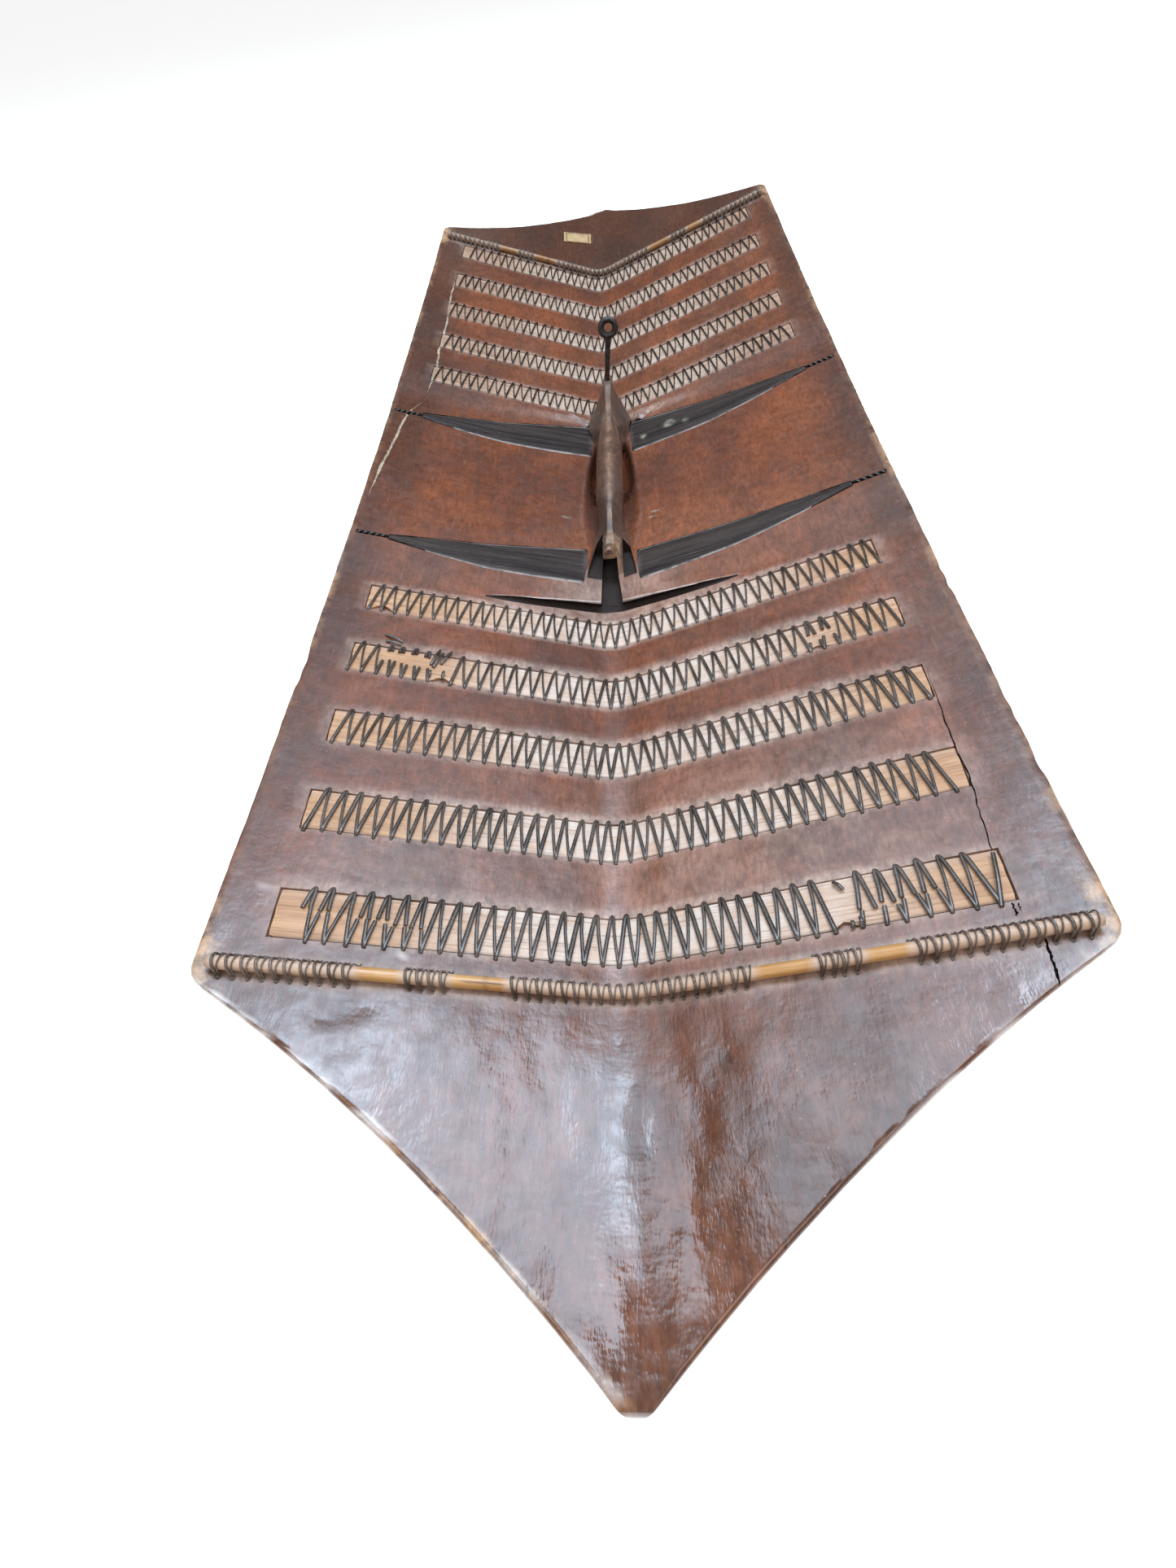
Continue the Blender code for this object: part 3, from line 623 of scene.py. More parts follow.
def make_board_look():
    """Old red-brown hardwood: mottled, scratched, dusty beside the strips and polished by hands, with painted
    shade in recesses and towards the top and painted highlights along lit edges.
    """
    look = Look("board_wood", specular=0.65)
    mottle = look.noise(13.0, 5.0, (1.0, 0.6, 1.0), 0.65)
    cloud = look.noise(5.0, 3.0)
    tool = look.noise(34.0, 2.0, (1.0, 0.7, 1.0))
    streak = look.noise(150.0, 3.0, (1.0, 0.12, 0.3), 0.6, 0.6)
    grain = look.noise(430.0, 3.0, (1.0, 0.28, 0.4), 0.7)
    pores = look.noise(900.0, 1.0, (1.0, 0.40, 0.5))
    dents = look.noise(150.0, 2.0, (0.7, 1.0, 1.0))
    dirt = look.noise(60.0, 6.0, None, 0.7)
    speckle = look.noise(520.0, 2.0)
    base = look.vary(mottle, 0.34, 0.66, WOOD)
    base = look.mix(look.mask("warm"), base, look.vary(mottle, 0.34, 0.66, WARM_WOOD))
    base = look.mix(look.mask("grip"), base, look.vary(mottle, 0.30, 0.70, GRIP_WOOD))
    base = look.fleck(base, streak, 0.45, 0.70, 0.24, WOOD_STREAK)
    # Darker patches: real smudges and dark tone, and painted shade in the recess and hollows, round the
    # handle's head and towards the top end
    base = look.mix(look.patchy("dark", dirt, 0.25, 0.75, 0.75), base, WOOD_DIRT_AND_SHADE)
    base = look.fleck(base, cloud, 0.42, 0.72, 0.10, WOOD_FILM)
    dust = look.patchy("dust", dirt, 0.28, 0.66, 0.40)
    base = look.mix(dust, base, WOOD_DUST)
    base = look.mix(look.patchy("wear", dirt, 0.36, 0.58), base, WOOD_WEAR)
    for noise, darkest, palest in ((grain, 0.76, 1.22), (dirt, 0.80, 1.18)):
        base = look.mix(1.0, base, look.ramp(noise, 0.30, 0.70, darkest, palest), "MULTIPLY")
    for turn, stretch in ((0.25, (16.0, 1.0, 1.0)), (1.25, (18.0, 1.0, 1.0))):
        scratch = look.noise(24.0, 2.0, stretch, 0.5, 0.0, turn)
        base = look.fleck(base, scratch, 0.69, 0.73, 0.10, WOOD_SCRATCH)
    base = look.fleck(base, speckle, 0.70, 0.76, 0.35, WOOD_SPECK)
    # Painted highlights along lit edges, lips and ridges, and real pale marks
    base = look.mix(look.patchy("painted_highlight_and_pale_mark", dirt, 0.30, 0.55, 0.35), base, WOOD_PAINTED_HIGHLIGHT_AND_MARK)
    look.colour(base)
    rough = look.ramp(dents, 0.3, 0.7, 0.36, 0.46)
    rough = look.sum("ADD", rough, look.sum("MULTIPLY", dust, 0.30))
    rough = look.sum("ADD", rough, look.ramp(mottle, 0.3, 0.7, 0.07, -0.04))
    look.rough(look.sum("SUBTRACT", rough, look.sum("MULTIPLY", look.mask("gloss"), 0.26)))
    look.bump((tool, 0.0007), (dents, 0.00022), (streak, 0.00006), (grain, 0.00008), (pores, 0.00005))
    return look.material


def make_cane_look(name, pair, dusty):
    """Flat split cane: fine fibres along it, darker splits, dust where it is handled least."""
    look = Look(name)
    fibre = look.noise(900.0, 3.0, (0.02, 1.0, 0.03), 0.65)
    split = look.noise(170.0, 3.0, (0.05, 1.0, 0.05), 0.6)
    mottle = look.noise(22.0, 4.0, (1.0, 2.0, 1.0))
    dirt = look.noise(80.0, 5.0, None, 0.7)
    base = look.vary(split, 0.35, 0.65, pair)
    base = look.fleck(base, mottle, 0.38, 0.70, 0.6, pair[0])
    base = look.mix(look.patchy("dust", dirt, 0.25, 0.65, 0.35), base, dusty)
    base = look.fleck(base, fibre, 0.52, 0.66, 0.60, STRIP_SPLIT)
    look.colour(look.mix(look.mask("dark"), base, STRIP_SHADE))
    look.rough(look.ramp(dirt, 0.3, 0.7, 0.36, 0.58))
    look.bump((fibre, 0.0004), (split, 0.0005))
    return look.material


def make_thread_look():
    """Dark split cane thread with a polished skin, paler where the light has bleached it."""
    look = Look("thread")
    along = look.noise(500.0, 3.0)
    mottle = look.noise(60.0, 4.0)
    dark, pale = (look.vary(mottle, 0.35, 0.65, pair) for pair in (DARK_THREAD, PALE_THREAD))
    base = look.mix(look.mask("pale"), dark, pale)
    look.colour(look.fleck(base, along, 0.55, 0.75, 0.12, THREAD_FLECK))
    look.rough(look.ramp(along, 0.3, 0.7, 0.18, 0.32))
    look.shader.inputs["Coat Weight"].default_value = 0.30
    look.shader.inputs["Coat Roughness"].default_value = 0.14
    look.bump((along, 0.00012))
    return look.material


def make_rod_look():
    look = Look("rod_cane")
    fibre = look.noise(700.0, 3.0, (0.02, 1.0, 0.1))
    mottle = look.noise(30.0, 4.0, (0.4, 1.0, 0.3))
    dust = look.mask("dust")
    base = look.fleck(look.vary(mottle, 0.3, 0.7, ROD_CANE), fibre, 0.55, 0.75, 0.5, ROD_SPLIT)
    base = look.mix(dust, base, ROD_DUST)
    look.colour(look.mix(look.mask("dark"), base, ROD_SHADE))
    rough = look.ramp(mottle, 0.3, 0.7, 0.18, 0.30)
    look.rough(look.sum("ADD", rough, look.sum("MULTIPLY", dust, 0.3)))
    look.bump((fibre, 0.0002))
    return look.material


def make_batten_look():
    """Near-black hardwood with fine pale fibres, dust, and a painted highlight along its near edge."""
    look = Look("batten_wood", specular=0.18)
    fibre = look.noise(800.0, 4.0, (0.03, 1.0, 0.04), 0.7)
    streak = look.noise(200.0, 3.0, (0.03, 1.0, 0.04), 0.6)
    dirt = look.noise(70.0, 5.0, None, 0.7)
    base = look.fleck(look.vary(streak, 0.35, 0.65, BATTEN_WOOD), fibre, 0.55, 0.68, 0.60, BATTEN_FIBRE)
    # dust, and the painted highlight along the near edge
    base = look.mix(look.patchy("dust", dirt, 0.25, 0.6), base, BATTEN_DUST_AND_HIGHLIGHT)
    look.colour(look.mix(look.patchy("plaster", dirt, 0.35, 0.60, 0.15, 0.8), base, PLASTER))
    look.rough(look.ramp(dirt, 0.3, 0.7, 0.30, 0.46))
    look.bump((fibre, 0.0004), (streak, 0.0005))
    return look.material


def make_iron_look():
    look = Look("iron", metallic=0.85)
    scale = look.noise(260.0, 5.0, None, 0.7)
    rust = look.noise(70.0, 4.0)
    look.colour(look.fleck(look.vary(scale, 0.3, 0.7, BLACK_IRON), rust, 0.5, 0.75, 0.6, RUST))
    look.rough(look.ramp(scale, 0.3, 0.7, 0.42, 0.68))
    look.bump((scale, 0.0005))
    return look.material


def make_paper_look():
    look = Look("paper", roughness=0.85, specular=0.3)
    fibre = look.noise(700.0, 4.0)
    stain = look.noise(90.0, 4.0)
    base = look.mix(look.mask("border"), look.vary(stain, 0.35, 0.7, OLD_PAPER), PAPER_BORDER)
    look.colour(look.fleck(base, fibre, 0.5, 0.8, 0.3, PAPER_FIBRE))
    look.bump((fibre, 0.0002))
    return look.material


def make_plain_look(name, pair, roughness):
    """Inside of cuts and cracks, painted near black as shade, and old fillings."""
    look = Look(name, roughness=roughness)
    crumbs = look.noise(500.0, 4.0)
    look.colour(look.vary(crumbs, 0.3, 0.7, pair))
    look.bump((crumbs, 0.0004))
    return look.material


BOARD = make_board_look()
# cut faces painted near black, as shade
SHADE = make_plain_look("cut_wood_in_shade", CUT_WOOD_IN_SHADE, 0.85)
FILLER = make_plain_look("old_filler", OLD_FILLER, 0.9)
CANE = {
    "upper": make_cane_look("cane_upper", UPPER_STRIP, UPPER_STRIP_DUST),
    "lower": make_cane_look("cane_lower", LOWER_STRIP, LOWER_STRIP_DUST),
}
THREAD = make_thread_look()
ROD = make_rod_look()
BATTEN = make_batten_look()
IRON = make_iron_look()
PAPER = make_paper_look()


# Board

TROUGH_DEPTH = STRIP_THICKNESS + GAP
WALL_RUN = 0.00015
ROW_CLEARANCE = 0.45
WARP_REACH = 0.10
SWELL_UPPER_RUN = (0.008, -0.004)
SOFT_POINT = (-0.47, -0.54)
SPUR_HEIGHT = 0.0030
SPUR_WIDTH = 0.0018
SPUR_START = (-0.004, 0.002)
SPUR_FADE = 0.35
LEAST_THICKNESS = 0.02

# Far and near end of the low ridge on each side of the handle's head
SPURS = {
    -1: ((-0.0535, GRIP_Y + 0.1579), (-0.0257, GRIP_Y + 0.1299)),
    1: ((0.0520, GRIP_Y + 0.1510), (0.0231, GRIP_Y + 0.1220)),
}

# Tool marks: noise, waves per metre across and along, height
WAVES = (
    (Noise(SEEDS["waves"]), 38.0, 16.0, 0.00026),
    (Noise(SEEDS["ripples"]), 110.0, 42.0, 0.00016),
)
ROUGHER = 0.9
ROUGHER_POINT = (-0.46, -0.52)

# Dents: place, length, width, turn, depth
DENTS = (
    ((-0.1345, -0.5023), 0.019, 0.0085, 0.42, 0.0011),
    ((0.0398, -0.5226), 0.004, 0.004, 0.0, 0.0006),
    ((-0.0030, -0.4909), 0.0022, 0.0022, 0.0, 0.0012),
)
DENT_WALL = (1.0, 0.35)

# Rim: even wear, then (waves per metre, noise row, depth), then chips as (side, middle, reach, depth)
RIM_NOISE = Noise(SEEDS["rim"])
RIM_WORN = 0.0002
RIM_WAVES = ((45.0, 3.0, 0.00016), (190.0, 7.0, 0.00014))
CHIPS = (
    (-1, -0.262, 0.012, 0.0013),
    (-1, -0.281, 0.006, 0.0009),
    (1, -0.222, 0.006, 0.0007),
    (1, -0.240, 0.005, 0.0009),
    (1, -0.345, 0.006, 0.0005),
    (1, -0.362, 0.005, 0.0006),
    (1, -0.395, 0.005, 0.0010),
)
RIM_OVER = (70.0, 45.0, 20.0, 0.0)
RIM_BELOW = (-22.0, -45.0, -68.0)
RIM_TAPER = 0.02
POINT_RIM = (0.8, 0.03)
FRONT_NOISE_SHIFT = 0.5
FLAT_BLEND = 0.004
STRIP_END_SHARE = 0.87


def merge_rows(rows, special, step):
    """Adds special rows and drops plain ones that would stand too close to them."""
    kept = [row for row in rows if all(abs(row - s) > step * ROW_CLEARANCE for s in special)]
    return sorted(kept + list(special))


def board_rows():
    """Rows along the board, closer in the middle, with a pair at each step of its surface."""
    low, high = TIPS["lower"], TIPS["upper"]
    rows = list(np.arange(low + ROW_STEP, FINE_ROWS[0], ROW_STEP))
    rows += list(np.arange(FINE_ROWS[0], FINE_ROWS[1], FINE_ROW_STEP))
    rows += list(np.arange(FINE_ROWS[1], high - ROW_STEP / 2, ROW_STEP))
    edges = [GRIP_Y - SWELL_LOWER, GRIP_Y + SWELL_UPPER]
    for _, _, y in STRIPS:
        edges += [y - STRIP_WIDTH / 2 - GAP, y + STRIP_WIDTH / 2 + GAP]
    special = [edge + way * WALL_RUN for edge in edges for way in (-1, 1)]
    special += [TIPS[end] - sign * inset for end, sign in ENDS for inset in TIP_ROWS]
    return merge_rows(rows, special, FINE_ROW_STEP)


def warp_row(x, row):
    """Rows bend to run along the swell's slanted edges."""
    slant = SWELL_EDGE_SLOPE * np.minimum(np.abs(x - CREASE_X), SWELL_HALF_WIDTH)
    first = {end: y for end, number, y in STRIPS if number == 1}
    y = np.full_like(x, row)
    for end, way, edge in (("lower", -1, GRIP_Y - SWELL_LOWER), ("upper", 1, GRIP_Y + SWELL_UPPER)):
        stop = first[end] - way * (STRIP_WIDTH / 2 + 2 * GAP)
        if way * GRIP_Y < way * row < way * stop:
            share = min(linear_share(row, stop, edge), linear_share(row, GRIP_Y + way * WARP_REACH, edge))
            y += way * slant * share
    return y


def column_shares():
    """Stations from the crease (0) to the rim (1), closer together near the crease."""
    near = np.linspace(0.0, CREASE_SHARE, CREASE_COLUMNS)
    far = np.linspace(CREASE_SHARE, 1.0, BACK_COLUMNS - CREASE_COLUMNS + 1)[1:]
    return np.concatenate((near, far))


def rim_wear(y, way):
    """How far the rim is worn back, in metres."""
    worn = RIM_WORN
    for waves, row, depth in RIM_WAVES:
        worn = worn + depth * RIM_NOISE(y * waves, row * way)
    for side, middle, reach, depth in CHIPS:
        if side == way:
            worn = worn + depth * np.exp(-(((y - middle) / reach) ** 2))
    return np.maximum(0.0, worn)


def relief(x, y):
    """Shallow waves left by the carver's tools, and a few dents."""
    height = sum(depth * noise(x * across, y * along) for noise, across, along, depth in WAVES)
    height = height * (1 + ROUGHER * smooth(y, *ROUGHER_POINT))
    for (u, v), length, width, turn, depth in DENTS:
        along = (x - u) * math.cos(turn) + (y - v) * math.sin(turn)
        off = (y - v) * math.cos(turn) - (x - u) * math.sin(turn)
        height = height - depth * smooth(np.hypot(along / length, off / width), *DENT_WALL)
    return height


def recess_depth(x, y):
    """The handle stands in a long recess: a deep bowl under its bar and a shallow step beside its foot."""
    along = y - GRIP_Y
    half = np.interp(along, RECESS_ROWS, RECESS_HALF_WIDTHS)
    deep = np.interp(along, RECESS_ROWS, RECESS_DEPTHS)
    inward = 1 - np.abs(x - handle_axis(along)) / half
    wall = smooth(inward, 0.0, RECESS_WALL)
    return deep * wall * (inward > 0)


def spur(x, y, start, finish, height, width):
    """Low ridge from start to finish that runs out at its far end."""
    start, finish = np.array(start), np.array(finish)
    run = finish - start
    length = np.hypot(*run)
    run = run / length
    along = (x - start[0]) * run[0] + (y - start[1]) * run[1]
    off = (x - start[0]) * -run[1] + (y - start[1]) * run[0]
    fade = smooth(along, *SPUR_START) * smooth(along, length, length * SPUR_FADE)
    return height * fade * np.exp(-((off / width) ** 2))


def surface(x, y, row=None):
    """Top of the board's back, with the swell, the hollow and the low carving."""
    row = y if row is None else row
    low, high = GRIP_Y - SWELL_LOWER, GRIP_Y + SWELL_UPPER
    inside = smooth(row, low - WALL_RUN, low + WALL_RUN)
    inside = inside * smooth(row, high + SWELL_UPPER_RUN[0], high + SWELL_UPPER_RUN[1])
    soft = CREASE_SOFT + POINT_SOFTENING * smooth(y, *SOFT_POINT)
    reach = np.abs(x - CREASE_X)
    filled = WING_SLOPE * (reach**2 / (2 * soft) + (soft - CREASE_SOFT) / 2)
    crease = np.where(reach < soft, filled - crease_rise(x), 0.0)
    z = back_z(x, y) + crease + swell(x) * inside + relief(x, y)
    for far, near in SPURS.values():
        z = z + spur(x, y, near, far, SPUR_HEIGHT, SPUR_WIDTH)
    return z - recess_depth(x, y)


def board_side(row, way):
    """Back, front and rim of one side of a row; back and front run outward from the crease, the rim down."""
    half, middle = half_width(row)
    side_y = OUTLINES[end_at(row)][0, 1]
    taper = min(1.0, half / RIM_TAPER)
    wider = 1 + POINT_RIM[0] * float(smooth(abs(row), side_y, side_y + POINT_RIM[1]))
    top_run, under_run = RIM_TOP[0] * taper * wider, RIM_UNDER * taper
    edge = middle + way * (half - rim_wear(np.array(row), way) * taper)
    crease = np.clip(CREASE_X, middle - half + 2 * under_run, middle + half - 2 * under_run)
    flat = edge - way * top_run
    x = crease + (flat - crease) * strip_aligned(column_shares(), row, way, side_y, abs(flat))
    y = warp_row(x, row)
    back = np.stack((x, y, surface(x, y, row) - trough_depth(x, y)), 1)
    x = crease + (edge - way * under_run - crease) * np.linspace(0.0, 1.0, FRONT_COLUMNS)
    y = np.full_like(x, row)
    low = front_z(x, y)
    low = np.maximum(0.0, low + relief(x + FRONT_NOISE_SHIFT, y) * smooth(low, 0.0, FLAT_BLEND))
    front = np.stack((x, y, low), 1)
    nose = back[-1, 2] - RIM_TOP[1]
    rim = []
    for run, rise, turns in ((top_run, RIM_TOP[1], RIM_OVER), (under_run, nose - low[-1], RIM_BELOW)):
        for t in np.radians(turns):
            rim.append((edge - way * run * (1 - math.cos(t)), row, nose + rise * math.sin(t)))
    return back, front, np.array(rim)


def make_board_blank():
    rings = []
    for row in board_rows():
        left_back, left_front, left_rim = board_side(row, -1)
        back, front, rim = board_side(row, 1)
        ring = np.concatenate((back[::-1], left_back[1:], left_rim, left_front[::-1], front[1:], rim[::-1]))
        to_tip = abs(TIPS[end_at(row)] - row)
        round_off = math.sqrt(max(LEAST_THICKNESS, 1 - (1 - min(1.0, to_tip / RIM_TIP)) ** 2))
        mid = (front_z(ring[:, 0], ring[:, 1]) + back_z(ring[:, 0], ring[:, 1])) / 2
        ring[:, 2] = mid + (ring[:, 2] - mid) * round_off
        rings.append(ring)
    return loft("shield_board", rings, BOARD)


def strip_aligned(shares, row, way, side_y, half):
    """Moves the stations so that one pair stands at the strips' ends."""
    if abs(row) > side_y:
        row = math.copysign(side_y, row)
        half = side_half_width(row) - RIM_TOP[0]
    target = (strip_reach(row, way) + GAP - way * CREASE_X) / (half - way * CREASE_X)
    index = int(np.argmin(np.abs(shares - STRIP_END_SHARE)))
    anchor = shares[index]
    moved = target + (shares - anchor) * (1 - target) / (1 - anchor)
    moved = np.where(shares <= anchor, shares * target / anchor, moved)
    wall = WALL_RUN / half
    moved[index] -= wall
    moved[index + 1] = target + wall
    return moved


def trough_depth(x, y):
    """Shallow bed of each strip."""
    depth = np.zeros_like(x)
    for _, _, middle in STRIPS:
        inside = np.abs(y - middle) < STRIP_WIDTH / 2 + GAP
        spread = side_half_width(y) - side_half_width(middle) + GAP
        inside &= (x > -strip_reach(middle, -1) - spread) & (x < strip_reach(middle, 1) + spread)
        depth = np.where(inside, TROUGH_DEPTH, depth)
    return depth


# Handle

HANDLE_LEVELS = 15
HANDLE_RINGS = 121
LEVEL_MARKS = np.array((0.0, 0.25, 0.55, 0.85, 1.0))
BAR_PROFILE = np.array((0.50, 0.90, 1.0, 0.70, 0.12))
KEEL_PROFILE = np.array((1.0, 0.74, 0.46, 0.20, 0.0))
CREST_SOFT = 0.0007
CREST_TOP = 0.72
CREST_RISE = (0.0004, 0.0007)

# Collar rings: first ring from the slot's end, then what each ring adds
COLLAR_RINGS = 3
COLLAR_START = -0.0160
COLLAR_PITCH = 0.0022
COLLAR_HEIGHT = (0.742, 0.013)
COLLAR_SPREAD = 0.0006
COLLAR_DROP = 0.0086
COLLAR_CURVE = 1.3
COLLAR_SWEEP = 0.0045
COLLAR_RADIUS = 0.0010

# Broken stub: at its start, and what its length adds
STUB_START = 0.0075
STUB_LENGTH = 0.0125
STUB_HALF_WIDTH = (0.0048, 0.0006)
STUB_TOP = (0.0216, 0.0026)
STUB_ROUNDING = 0.8


def handle_stations():
    """Rows of (share, keel share, foot's half width, bottom, top, crest's half width, lean)."""
    sunk = -0.5 * SWELL_HEIGHT
    bar, crest = BAR_HALF_WIDTH, CREST_HALF_WIDTH
    return np.array(
        (
            (0.00, 1.0, HOOD_HALF_WIDTH, sunk, HANDLE_HEIGHT * 0.70, crest * 1.5, 0.012),
            (0.08, 1.0, HOOD_HALF_WIDTH * 0.94, sunk, HANDLE_HEIGHT * 0.74, crest * 1.2, 0.006),
            (0.16, 0.9, HOOD_HALF_WIDTH * 0.78, sunk, HANDLE_HEIGHT * 0.84, crest, 0.002),
            (0.24, 0.4, bar * 1.1, BAR_CLEARANCE * 0.3, HANDLE_HEIGHT * 0.93, crest, 0.0),
            (0.33, 0.0, bar, BAR_CLEARANCE, HANDLE_HEIGHT * 0.97, crest, 0.0),
            (0.60, 0.0, bar, BAR_CLEARANCE, HANDLE_HEIGHT * 0.98, crest, 0.0),
            (0.70, 0.25, bar * 1.1, BAR_CLEARANCE * 0.7, HANDLE_HEIGHT * 1.01, crest, 0.0),
            (0.79, 0.75, PROW_HALF_WIDTH * 0.66, sunk, PROW_HEIGHT * 0.89, crest * 1.1, 0.0),
            (0.89, 1.0, PROW_HALF_WIDTH, sunk, PROW_HEIGHT * 0.94, crest * 1.3, 0.0),
            (0.955, 1.0, PROW_HALF_WIDTH * 0.90, sunk, PROW_HEIGHT, crest * 1.6, 0.004),
            (1.00, 1.0, PROW_HALF_WIDTH * 0.50, sunk, PROW_HEIGHT * 0.97, crest * 1.6, 0.008),
        )
    )


def eased(value, places, values):
    """Smooth curve through a table, without overshoot."""
    slopes = np.diff(values) / np.diff(places)
    tangents = np.zeros(len(values))
    for i in range(1, len(values) - 1):
        if slopes[i - 1] * slopes[i] > 0:
            tangents[i] = 2 / (1 / slopes[i - 1] + 1 / slopes[i])
    tangents[0], tangents[-1] = slopes[0], slopes[-1]
    i = np.clip(np.searchsorted(places, value) - 1, 0, len(places) - 2)
    width = places[i + 1] - places[i]
    t = (value - places[i]) / width
    a = 2 * t**3 - 3 * t**2 + 1
    b = t**3 - 2 * t**2 + t
    c = -2 * t**3 + 3 * t**2
    d = t**3 - t**2
    return a * values[i] + b * width * tangents[i] + c * values[i + 1] + d * width * tangents[i + 1]


def make_handle():
    table = handle_stations()
    levels = np.linspace(0.0, 1.0, HANDLE_LEVELS)
    bar_profile = eased(levels, LEVEL_MARKS, BAR_PROFILE)
    keel_profile = eased(levels, LEVEL_MARKS, KEEL_PROFILE)
    rings = []
    for share in np.linspace(0.0, 1.0, HANDLE_RINGS):
        keel, foot, low, high, crest, lean = (eased(share, table[:, 0], table[:, i]) for i in range(1, 7))
        along = HANDLE_FOOT + (HANDLE_HEAD - HANDLE_FOOT) * share
        half = (1 - keel) * bar_profile * BAR_HALF_WIDTH + keel * keel_profile * foot
        half = crest + np.logaddexp(0.0, (half - crest) / CREST_SOFT) * CREST_SOFT
        half[-1] = crest * CREST_TOP
        y = along + lean * levels
        z = ground_z(along) + low + (high - low) * levels
        z[-1] += CREST_RISE[0]
        axis = handle_axis(y)
        right, left = (np.stack((axis + way * half, GRIP_Y + y, z), 1) for way in (1, -1))
        top = [(axis[-1], GRIP_Y + y[-1], z[-1] + CREST_RISE[1])]
        rings.append(np.concatenate((right, top, left[::-1])))
    return loft("handle", rings, BOARD)


def make_collar():
    """Chevron rings over the foot's crest, above the broken stub."""
    tubes = Tubes()
    for number in range(COLLAR_RINGS):
        y = SLOT_END + COLLAR_START + COLLAR_PITCH * number
        top = ground_z(y) + HANDLE_HEIGHT * (COLLAR_HEIGHT[0] + COLLAR_HEIGHT[1] * number)
        knots = []
        for share in np.linspace(-1.0, 1.0, 9):
            across = share * (COLLAR_HALF_WIDTH + COLLAR_SPREAD * number)
            drop = COLLAR_DROP * abs(share) ** COLLAR_CURVE
            knots.append((handle_axis(y) + across, GRIP_Y + y - COLLAR_SWEEP * abs(share), top - drop))
        tubes.add(knots, COLLAR_RADIUS)
    return tubes.build("collar", BOARD)


def make_stub():
    """Round broken stub that lies over the slot's end."""
    rings = []
    for share in np.linspace(0.0, 1.0, 7):
        y = HANDLE_FOOT + STUB_START + STUB_LENGTH * share
        axis = handle_axis(y) + SLOT_END_SHIFT * 0.5
        half = STUB_HALF_WIDTH[0] + STUB_HALF_WIDTH[1] * share
        low = ground_z(y) + SLOT_HEIGHT * 0.9
        rise = ground_z(y) + STUB_TOP[0] + STUB_TOP[1] * share - low
        ring = []
        for t in np.linspace(0.0, math.pi, 11):
            ring.append((axis + half * math.cos(t), GRIP_Y + y, low + rise * math.sin(t) ** STUB_ROUNDING))
        rings.append(ring)
    return loft("stub", rings, BOARD)


def prism(name, sections):
    """Cutter along the handle: each section is (y, ((offset from the axis, height above the panel), ...))."""
    rings = []
    for y, outline in sections:
        ground = ground_z(y)
        rings.append([(handle_axis(y) + u, GRIP_Y + y, ground + v) for u, v in outline])
    return loft(name, rings, SHADE)


def make_foot_slot():
    start = -(SWELL_LOWER + SCOOP_WIDTH)
    low = -SWELL_HEIGHT - SCOOP_DEPTH * 0.4
    mouth = (start, SLOT_MOUTH_HALF_WIDTH, 0.0)
    sections = []
    for y, half, shift in (mouth, (SLOT_END, SLOT_END_HALF_WIDTH, SLOT_END_SHIFT)):
        left, right = shift - half, shift + half
        sections.append((y, ((right, low), (right, SLOT_HEIGHT), (left, SLOT_HEIGHT), (left, low))))
    return prism("foot_slot", sections)


def make_hood_void(way):
    sections = []
    inner = SLOT_END_HALF_WIDTH + FIN_THICKNESS[way]
    peak = VOID_HEIGHT[way]
    for y, outer in ((HANDLE_FOOT - VOID_OVERLAP, HOOD_HALF_WIDTH), (HOOD_END, HOOD_HALF_WIDTH * 0.8)):
        outline = ((inner, 0.0), (outer - HOOD_WALL, 0.0), (inner + VOID_TOP, peak), (inner, peak))
        sections.append((y, tuple((way * u, v) for u, v in outline)))
    return prism("hood_void", sections)


def make_scoop():
    """Long gouge under the swell's lower edge, deepest at the crease."""
    rings = []
    for share in np.linspace(-1.0, 1.0, 61):
        x = CREASE_X + SWELL_HALF_WIDTH * 0.97 * share
        size = max(0.05, 1 - share**2)
        edge = lip_y(x)
        ground = float(back_z(x, edge))
        roof = ground + SWELL_HEIGHT * 0.5 * size
        width = SCOOP_WIDTH * math.sqrt(size)
        depth = SCOOP_DEPTH * size
        back = edge + SCOOP_UNDERCUT * size
        profile = (
            (back, ground - depth * 0.5),
            (back + 0.0003, (ground + roof) / 2),
            (back, roof),
            (edge - width, roof + 0.0015),
            (edge - width, ground),
            (edge - width * 0.75, ground - depth * 0.55),
            (edge - width * 0.4, ground - depth * 0.95),
            (edge, ground - depth * 0.9),
        )
        rings.append([(x, y, z) for y, z in profile])
    return loft("scoop", rings, SHADE)


# Strips

STRIP_RINGS = 150
STRIP_END_RUN = 0.003
STRIP_SUNK = 0.0001
STRIP_CAMBER = 0.0007
STRIP_END_DROP = 0.0004
STRIP_RAGGED = 0.0004
STRIP_WORN = 0.0003
STRIP_LEAST = 0.0004

# Ridges along the fibre, as fibre_lines takes them
RIDGES = ((4.0, 9.0, 20.0, 0.00016), (9.0, 28.0, 0.0, 0.00010))

# Splinters lost from a strip's lower edge: strip, middle, reach, depth
STRIP_CHIPS = (
    (("lower", 1), -0.176, 0.006, 0.007),
    (("lower", 5), 0.103, 0.004, 0.004),
    (("lower", 2), -0.126, 0.006, 0.006),
    (("lower", 2), 0.130, 0.006, 0.004),
    (("lower", 5), -0.180, 0.004, 0.002),
)


def fibre_lines(noise, along, across, layers):
    """Height of the fibres' lines, from layers of (waves along, waves across, noise row, height)."""
    return sum(height * noise(along * u, across * v + row) for u, v, row, height in layers)


